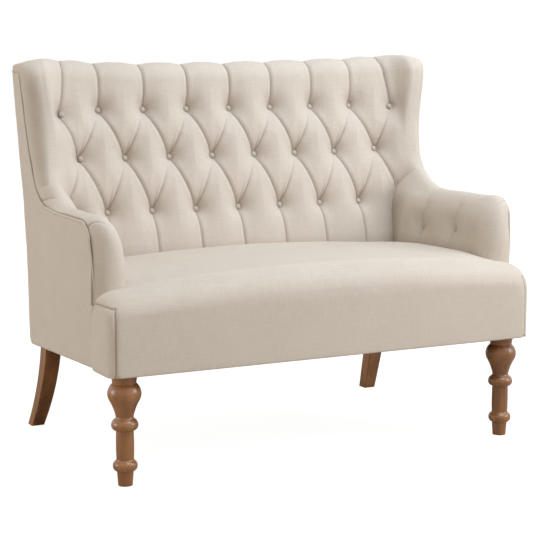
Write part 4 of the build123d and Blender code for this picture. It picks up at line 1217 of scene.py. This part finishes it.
seat = padded_copy("seat_cushion", "seat_cushion_cloth", 0.006, 0.007, seat_held, pressure=3.0)

# %% [markdown]
# The front corners of the seat, its ears, stand out past the arms. Behind each ear the cloth goes back and
# dives in behind the side panel, so that no gap shows. The top is crowned: highest in the middle and lower
# towards the arms.

# %% The ears and the crown of the seat
CROWN = (  # across, and the height of the top in the middle of the seat's depth
    (0, 0.490),
    (0.125, 0.4885),
    (0.256, 0.485),
    (0.350, 0.482),
    (0.430, 0.479),
    (0.490, 0.4775),
    (0.515, 0.470),
    (0.545, 0.455),
)
REAR_CROWN = ((0, 0.489), (0.125, 0.4865), (0.256, 0.4815), (0.350, 0.4755), (0.430, 0.472), (0.490, 0.470))
EAR_CROWN = ((0.430, 0.479), (0.490, 0.469), (0.515, 0.462), (0.545, 0.450))
points = mesh_points(seat.data)
x, y, z = points.T  # views, so they follow when the points move
ear = rising(np.abs(x), 0.520, 0.02) * fading(z, 0.440, 0.03) * rising(y, -0.330, 0.067) * (y < -0.250)
points[:, 1] += 0.044 * ear
tucked = 0.022 * rising(points[:, 1], -0.250, 0.026) * (ear > 0)  # its rear edge dives in behind the panel
points[:, 0] -= np.sign(x) * tucked
facing_up = rising(point_normals(seat.data)[:, 2], 0.35, 0.45) * (z > 0.440)
wanted = np.interp(np.abs(x), *np.transpose(CROWN))
wanted = wanted + (np.interp(np.abs(x), *np.transpose(REAR_CROWN)) - wanted) * np.clip(y / 0.12, 0, 1)
at_ear = np.interp(np.abs(x), *np.transpose(EAR_CROWN))
wanted += (at_ear - wanted) * fading(y, -0.20, 0.07) * (np.abs(x) > 0.430)
weight = facing_up * rising(y, -0.335, 0.07) * fading(np.abs(x), 0.545, 0.02) * 0.85
points[:, 2] += weight * (wanted - z)
move_points(seat.data, points)
print("top of the seat", round(float(points[:, 2].max()), 3), "m")

# %% [markdown]
# A seam is a thin groove with shade in it, and that shade is painted. The net is too coarse for the groove,
# so its faces are made finer along the seam only, and then they are drawn in.

# %% The seams of the ears
# The corner seam below, the seam round the side of the ear, and the edge behind which the ear is tucked;
# that edge is no seam, and its groove with painted shade stands for the shadow in the gap.
SEAMS = [
    [(0.5705, -0.3665, 0.262), (0.5705, -0.3665, 0.330), (0.5700, -0.3665, 0.400), (0.5690, -0.362, 0.428)],
    [(0.5875, -0.2372, 0.262), (0.5875, -0.2372, 0.345), (0.5875, -0.247, 0.390), (0.5875, -0.268, 0.422)],
    [
        (0.5870, -0.245, 0.424),
        (0.5875, -0.290, 0.428),
        (0.5870, -0.330, 0.429),
        (0.5800, -0.356, 0.429),
        (0.5690, -0.362, 0.428),
    ],
]


def gap_to(points, line):
    """Distance from each point to a line through places in space."""
    best = np.full(len(points), 9.0)
    for start, end in zip(line, line[1:]):
        step = np.subtract(end, start)
        t = np.clip((points - start) @ step / (step @ step), 0, 1)
        best = np.minimum(best, np.linalg.norm(points - start - t[:, None] * step, axis=1))
    return best


def sew(piece, lines, deep, wide, shade):
    """Finer faces along the lines, laid on the surface, then a shallow groove with painted shade at its
    bottom.
    """

    def on_piece(place):
        return np.array(piece.closest_point_on_mesh(Vector(place))[1])

    lines = [[on_piece(place) for place in even_points(line, 0.006)] for line in lines]
    for reach in (0.014, 0.007):
        gaps = np.min([gap_to(mesh_points(piece.data), line) for line in lines], axis=0)
        edit = bmesh.new()
        edit.from_mesh(piece.data)
        edit.verts.ensure_lookup_table()
        close = [edge for edge in edit.edges if max(gaps[vert.index] for vert in edge.verts) < reach]
        bmesh.ops.subdivide_edges(edit, edges=close, cuts=1, use_grid_fill=True)
        bmesh.ops.triangulate(edit, faces=[face for face in edit.faces if len(face.verts) > 4])
        edit.to_mesh(piece.data)
        edit.free()
    points = mesh_points(piece.data)
    gaps = np.min([gap_to(points, line) for line in lines], axis=0)
    groove = deep * np.exp(-((gaps / wide) ** 2))
    move_points(piece.data, points - point_normals(piece.data) * groove[:, None])
    # painted shade along the groove
    painted_shade = piece.data.attributes.new("painted_shade", "FLOAT", "POINT")
    painted_shade.data.foreach_set("value", shade * np.exp(-((gaps / (0.7 * wide)) ** 2)))
    piece.data.shade_smooth()


both_sides = SEAMS + [[(-px, py, pz) for px, py, pz in line] for line in SEAMS]
sew(seat, both_sides, 0.0022, 0.0032, 0.55)
print("seat faces", len(seat.data.polygons))

# %% [markdown]
# The other arm is this one mirrored. Both arms and the seat get the cover cloth, and each takes the place
# of its CAD solid.

# %% Finish arms and seat
arm_left = mirrored(arm_right, "arm_pad_left_cloth")
for piece, node, finish_slot, fill in (
    (arm_right, "arm_pad_right", "arm_cloth", 0.8),
    (arm_left, "arm_pad_left", "arm_cloth", 0.8),
    (seat, "seat_cushion", "seat_cloth", 0.85),
):
    lay_weave(piece)
    give_finish(piece, CLOTH)
    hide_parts(node)
    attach(piece, "root")

# %% [markdown]
# ## Outside covers and welts
# The outside of the arm and wing is one flat panel of cloth over card. A welt, a cord sewn into a strip of
# the same cloth, finishes its edge. The panel's outline is drawn as lines and arcs, and the welt is a tube
# along it.

# %% Outline of arm and wing
def arc_through(start, middle, end, count):
    """Points along the circle arc through three points."""
    (ax, ay), (bx, by), (cx, cy) = start, middle, end
    d = 2 * (ax * (by - cy) + bx * (cy - ay) + cx * (ay - by))
    ux = ((ax**2 + ay**2) * (by - cy) + (bx**2 + by**2) * (cy - ay) + (cx**2 + cy**2) * (ay - by)) / d
    uy = ((ax**2 + ay**2) * (cx - bx) + (bx**2 + by**2) * (ax - cx) + (cx**2 + cy**2) * (bx - ax)) / d
    radius = math.hypot(ax - ux, ay - uy)
    first, mid, last = (math.atan2(p[1] - uy, p[0] - ux) for p in (start, middle, end))
    turn = 2 * math.pi
    sweep = (last - first) % turn
    if (mid - first) % turn > sweep:
        sweep -= turn
    angles = [first + sweep * k / count for k in range(count + 1)]
    return [(ux + radius * math.cos(angle), uy + radius * math.sin(angle)) for angle in angles]


def side_outline(grow):
    """Front and top edge of the side panel as (depth, height), from below the arm up to the rear corner."""
    line = [(-0.230, 0.2625), (-0.230, 0.345)]
    line += arc_through((-0.230, 0.345), (-0.239, 0.390), (-0.262 - grow, 0.430), 8)[1:]
    line += arc_through((-0.267 - grow, 0.460), (-0.2645 - grow, 0.512), (-0.2575 - grow, 0.562), 8)
    shoulder = (-0.246 - grow * 0.7, 0.594 + grow * 0.7)
    line += arc_through((-0.2575 - grow, 0.562), shoulder, (-0.216, 0.607 + grow), 8)[1:]
    line += [(0.008, 0.607 + grow), (0.070, 0.612 + grow)]
    line += arc_through(
        (0.070, 0.612 + grow), (0.144 - grow * 0.7, 0.641 + grow * 0.7), (0.173 - grow, 0.703), 14
    )[1:]
    line += arc_through((0.173 - grow, 0.703), (0.187 - grow, 0.770), (0.190 - grow, 0.858), 8)[1:]
    line += arc_through((0.190 - grow, 0.858), (0.1905 - grow, 0.915), (0.191 - grow, 0.934), 6)[1:]
    line += arc_through(
        (0.191 - grow, 0.934), (0.194 - grow * 0.7, 0.944 + grow * 0.7), (0.206, 0.948 + grow), 6
    )[1:]
    line += [(float(rear_depth(0.948)), 0.948 + grow)]
    return line


print("points in the outline", len(side_outline(0.0)))

# %% [markdown]
# The welt could be a swept circle made by hand, but a curve with a round bevel is the same thing with less
# work. It is thinner where it turns up the wing and down the front, because it lies deeper in the seam
# there.

# %% Welt tubes
def tube_along(name, points, radius, shares, order=3, resolution=10):
    """Round cord along a smooth curve, made a mesh."""
    curve = bpy.data.curves.new(name, "CURVE")
    curve.dimensions = "3D"
    spline = curve.splines.new("NURBS")
    spline.points.add(len(points) - 1)
    for point, place, share in zip(spline.points, points, shares):
        point.co = (*place, 1)
        point.radius = share
    spline.order_u = order
    spline.use_endpoint_u = True
    spline.resolution_u = resolution
    curve.bevel_depth = radius
    curve.bevel_resolution = 3
    curve.use_fill_caps = True
    holder = bpy.data.objects.new(name, curve)
    bpy.context.collection.objects.link(holder)
    mesh = baked_mesh(holder)
    bpy.data.objects.remove(holder)
    return new_piece(name, mesh)


WELT_RADIUS = 0.0028
welt_line = even_points(side_outline(0.0022), 0.012)
welt_points = [(float(side_half(y, z)) - 0.0015, y, z) for y, z in welt_line]
welt_shares = [0.62 if z > 0.69 or z < 0.57 else 1.0 for _, z in welt_line]
welt_right = tube_along("welt_right_cord", welt_points, WELT_RADIUS, welt_shares)
welt_left = mirrored(welt_right, "welt_left_cord")
print("welt", WELT_RADIUS * 2000, "mm thick,", len(welt_points), "points")

# %% [markdown]
# A panel starts as the face inside its outline, pulled to a thickness. It is rebuilt as an even net,
# because the cloth over it is never quite flat, and only a net can follow the flare of the side and the
# slight ripples.

# %% Outside panels
def panel_prism(name, outline, thick, voxel):
    """Flat closed panel from an outline in two directions, rebuilt as an even net."""
    edit = bmesh.new()
    ring = [edit.verts.new((0, y, z)) for y, z in outline]
    face = edit.faces.new(ring)
    made = bmesh.ops.extrude_face_region(edit, geom=[face])
    far_side = [item for item in made["geom"] if isinstance(item, bmesh.types.BMVert)]
    bmesh.ops.translate(edit, vec=(thick, 0, 0), verts=far_side)
    bmesh.ops.recalc_face_normals(edit, faces=edit.faces)
    piece = new_piece(name, edit)
    even_net(piece, voxel).shade_smooth()
    return piece


THICK = 0.016
outline = side_outline(0.0) + [(0.2745, 0.500), (0.2745, 0.266)]
outline += arc_through((0.2745, 0.266), (0.268, 0.2465), (0.248, 0.2405), 8)[1:]
outside_right = panel_prism("outside_arm_right_cloth", outline, THICK, 0.0055)
points = mesh_points(outside_right.data)
layer = points[:, 0] / THICK
ripple = 0.0006 * np.sin(points[:, 1] * 60 + 3 * np.sin(points[:, 2] * 9)) * np.sin(points[:, 2] * 14)
points[:, 0] = side_half(points[:, 1], points[:, 2]) - 0.005 + 0.005 * layer + ripple * layer
move_points(outside_right.data, points)
outside_left = mirrored(outside_right, "outside_arm_left_cloth")

print("side panel faces", len(outside_right.data.polygons))

# %% [markdown]
# The outside back is one more such panel. It is as wide as the two side panels reach, so the corners close,
# and it leans back from the height where the posts do. The cloth hangs slightly slack on it.

# %% Outside back
BACK_EDGE = ((0.5570, 0.264), (0.5605, 0.500), (0.5740, 0.946))  # half width at each height
back_outline = [
    (-BACK_EDGE[0][0], BACK_EDGE[0][1]),
    *BACK_EDGE,
    *[(-half, z) for half, z in BACK_EDGE[:0:-1]],
]
outside_back = panel_prism("outside_back_cloth", back_outline, THICK, 0.0075)
points = mesh_points(outside_back.data)
layer = points[:, 0] / THICK
across, height = points[:, 1], points[:, 2]
slack = 0.0012 * np.sin(across * 9 + 1) * np.sin((height - 0.264) * 5)
depth_at = rear_depth(height) - 0.0052 + 0.005 * layer + slack * layer
move_points(outside_back.data, np.column_stack([across, depth_at, height]))
edit = bmesh.new()
edit.from_mesh(outside_back.data)
bmesh.ops.recalc_face_normals(edit, faces=edit.faces)
edit.to_mesh(outside_back.data)
edit.free()
print("outside back faces", len(outside_back.data.polygons))

# %% Finish covers and welts
for piece, node, finish_slot in (
    (welt_right, "welt_right", "welt_cloth"),
    (welt_left, "welt_left", "welt_cloth"),
    (outside_right, "outside_arm_cover_right", "outside_cloth"),
    (outside_left, "outside_arm_cover_left", "outside_cloth"),
    (outside_back, "outside_back_cover", "outside_cloth"),
):
    lay_weave(piece)
    give_finish(piece, CLOTH)
    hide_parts(node)
    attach(piece, "root")

# %% [markdown]
# ## Covered buttons
# Each button is a metal shell 16 mm across, covered with the same cloth and tied down through the padding.
# It is spun from a small profile: a flat back, a rolled edge and a dome. All buttons of one pad are one
# piece, and each sits a little below the mark, because its twine pulls it into the dimple.

# %% Buttons
BUTTON_RADIUS = 0.0078


BACK_SINK, ARM_SINK = 0.0038, 0.0022  # how far the buttons are pulled below their marks
BUTTON_PROFILE = (  # shares of the radius: out from the middle, and up from the flat back
    (0.0, 0.0),
    (0.6, 0.0),
    (0.9, 0.06),
    (1.0, 0.2),
    (0.97, 0.36),
    (0.86, 0.56),
    (0.66, 0.72),
    (0.4, 0.82),
    (0.18, 0.86),
    (0.0, 0.87),
)


def button_shape():
    """One button as a bmesh, its back at the origin and its dome up."""
    edit = bmesh.new()
    ring = [edit.verts.new((r * BUTTON_RADIUS, 0, h * BUTTON_RADIUS)) for r, h in BUTTON_PROFILE]
    for a, b in zip(ring, ring[1:]):
        edit.edges.new((a, b))
    bmesh.ops.spin(
        edit,
        geom=edit.verts[:] + edit.edges[:],
        cent=(0, 0, 0),
        axis=(0, 0, 1),
        steps=20,
        angle=2 * math.pi,
        use_merge=True,
    )
    bmesh.ops.remove_doubles(edit, verts=edit.verts, dist=1e-5)
    bmesh.ops.recalc_face_normals(edit, faces=edit.faces)
    # painted shade: the whole button is darkened a little, and more towards its rim, which lies in the
    # dimple's shade
    shade = edit.verts.layers.float.new("painted_shade")  # the rim lies in the dimple's shade
    for vert in edit.verts:
        vert[shade] = 0.30 + 0.40 * max(0.0, 1 - vert.co.z / (0.62 * BUTTON_RADIUS))
    return edit


def set_buttons(name, seats):
    """One mesh with a button at each seat, given as (place, direction)."""
    whole = bmesh.new()
    for place, direction in seats:
        single = button_shape()
        turn = Vector(direction).to_track_quat("Z", "Y").to_matrix().to_4x4()
        bmesh.ops.transform(single, matrix=Matrix.Translation(Vector(place)) @ turn, verts=single.verts)
        part = bpy.data.meshes.new("button")
        single.to_mesh(part)
        single.free()
        whole.from_mesh(part)
        bpy.data.meshes.remove(part)
    return new_piece(name, whole)


back_seats = [(raked(*button) - RAKE_OUT * BACK_SINK, RAKE_OUT) for button in BUTTONS]
back_buttons = set_buttons("back_buttons_cloth", back_seats)

ARM_OUT = Vector((-1, -0.082, 0.19)).normalized()
arm_seats = []
for button_y, button_z in ARM_BUTTONS:
    distance = np.hypot(surface[..., 1] - button_y, surface[..., 2] - button_z)
    nearest = np.unravel_index(distance.argmin(), level.shape)
    arm_seats.append((Vector(surface[nearest]) - ARM_OUT * ARM_SINK, ARM_OUT))
arm_buttons_right = set_buttons("arm_buttons_right_cloth", arm_seats)
arm_buttons_left = mirrored(arm_buttons_right, "arm_buttons_left_cloth")
print("buttons", len(back_seats), "and", 2 * len(arm_seats))
for piece, node in (
    (back_buttons, "back_buttons"),
    (arm_buttons_right, "arm_buttons_right"),
    (arm_buttons_left, "arm_buttons_left"),
):
    lay_weave(piece)
    give_finish(piece, CLOTH)
    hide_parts(node)
    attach(piece, "root")

# %% [markdown]
# ## Dust cover
# A thin black non-woven cloth is stapled under the seat. It is stretched flat between the rails, and it is
# a little narrower at the back, as the frame is.

# %% Dust cover
DUST_THICK = 0.0005
low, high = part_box("dust_cover")
edit = bmesh.new()
bmesh.ops.create_grid(edit, x_segments=48, y_segments=26, size=0.5)
middle_x, middle_y = (low.x + high.x) / 2, (low.y + high.y) / 2
wide, long = high.x - low.x - 0.006, high.y - low.y - 0.006
for vertex in edit.verts:
    u, v = vertex.co.x * 2, vertex.co.y * 2
    sag = 0.0006 * (1 - u * u) * (1 - v * v)
    taper = 1 - 0.010 * (v + 1)  # the frame is narrower at the back
    vertex.co = (middle_x + u / 2 * wide * taper, middle_y + v / 2 * long, 0.2647 + sag)
bmesh.ops.solidify(edit, geom=edit.faces[:], thickness=DUST_THICK)
dust_cover = new_piece("dust_cover_cloth", edit)
give_finish(dust_cover, DUST_CLOTH)
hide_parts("dust_cover")
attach(dust_cover, "root")
print("dust cover", round(wide, 3), "by", round(long, 3), "m")

# %% [markdown]
# ## Studio
# The settee stands alone on white. The floor and the background are white to the camera, but to the light
# the floor is a plain warm grey and the surround an even dim cream, so nothing bright shines back at the
# cloth. The floor still takes the settee's shadow.

# %% Floor and background
edit = bmesh.new()
bmesh.ops.create_grid(edit, x_segments=1, y_segments=1, size=12)
floor = new_piece("studio_floor", edit)
material, tree, shader = new_material("white_studio_floor")
shader.inputs["Base Color"].default_value = colour("#B9B0A6")
shader.inputs["Roughness"].default_value = 0.9
paper = add_node(tree, "ShaderNodeBsdfDiffuse", inputs={"Color": (0.24, 0.24, 0.24, 1)})
glow = add_node(tree, "ShaderNodeEmission", inputs={"Color": (1, 1, 1, 1), "Strength": 0.93})
lit_paper = add_node(tree, "ShaderNodeAddShader", links={0: paper.outputs[0], 1: glow.outputs[0]})
ray = add_node(tree, "ShaderNodeLightPath")
chosen = add_node(
    tree,
    "ShaderNodeMixShader",
    links={0: ray.outputs["Is Camera Ray"], 1: shader.outputs[0], 2: lit_paper.outputs[0]},
)
tree.links.new(chosen.outputs[0], tree.nodes["Material Output"].inputs["Surface"])
give_finish(floor, material)
print("floor", material.name)

# %% Surround
world = bpy.data.worlds.new("studio_world")
bpy.context.scene.world = world
world.use_nodes = True
tree = world.node_tree
tree.nodes.clear()
ray = add_node(tree, "ShaderNodeLightPath")
seen = add_node(
    tree,
    "ShaderNodeMath",
    {"operation": "MAXIMUM"},
    links={0: ray.outputs["Is Camera Ray"], 1: ray.outputs["Is Glossy Ray"]},
)
seen_all = add_node(
    tree,
    "ShaderNodeMath",
    {"operation": "MAXIMUM"},
    links={0: seen.outputs[0], 1: ray.outputs["Is Transmission Ray"]},
)
lit = add_node(tree, "ShaderNodeBackground", inputs={"Color": colour("#FFF4E6"), "Strength": 0.55})
shown = add_node(tree, "ShaderNodeBackground", inputs={"Color": (1, 1, 1, 1), "Strength": 1.0})
mixed = add_node(
    tree, "ShaderNodeMixShader", links={0: seen_all.outputs[0], 1: lit.outputs[0], 2: shown.outputs[0]}
)
add_node(tree, "ShaderNodeOutputWorld", links={"Surface": mixed.outputs[0]})
print("surround", world.name)

# %% [markdown]
# ### Lamps
# Pale cloth shows its folds only when the light has a direction. A large cool light above the front gives
# the top of the seat and of the arms their brightness, a key light from the front right shapes the pleats,
# and a weaker one from the left and a little behind lifts the side that would be dull. Their powers were
# set so that the cloth renders about as its colour is written.

# %% Lamps
def area_lamp(name, place, target, size, power, tint):
    """Rectangular lamp that looks at a target and isn't seen by the camera."""
    data = bpy.data.lights.new(name, "AREA")
    data.shape = "RECTANGLE"
    data.size, data.size_y = size
    data.energy = power
    data.color = colour(tint)[:3]
    lamp = bpy.data.objects.new(name, data)
    lamp.location = place
    lamp.rotation_euler = (Vector(target) - Vector(place)).to_track_quat("-Z", "Y").to_euler()
    bpy.context.collection.objects.link(lamp)
    lamp.visible_camera = False
    return lamp


area_lamp("top_softbox", (0.9, -1.3, 3.3), (0, 0, 0.5), (2.0, 1.6), 82, "#DCEEFF")
area_lamp("key_softbox", (2.8, -2.2, 1.6), (0, 0, 0.6), (1.4, 1.4), 43, "#FBFCFF")
area_lamp("side_softbox", (-3.4, 0.7, 0.8), (0, 0, 0.5), (1.2, 1.2), 31, "#F1F5F8")
bpy.context.scene.view_settings.view_transform = "Standard"
print("lamps", [lamp.name for lamp in bpy.data.lights])
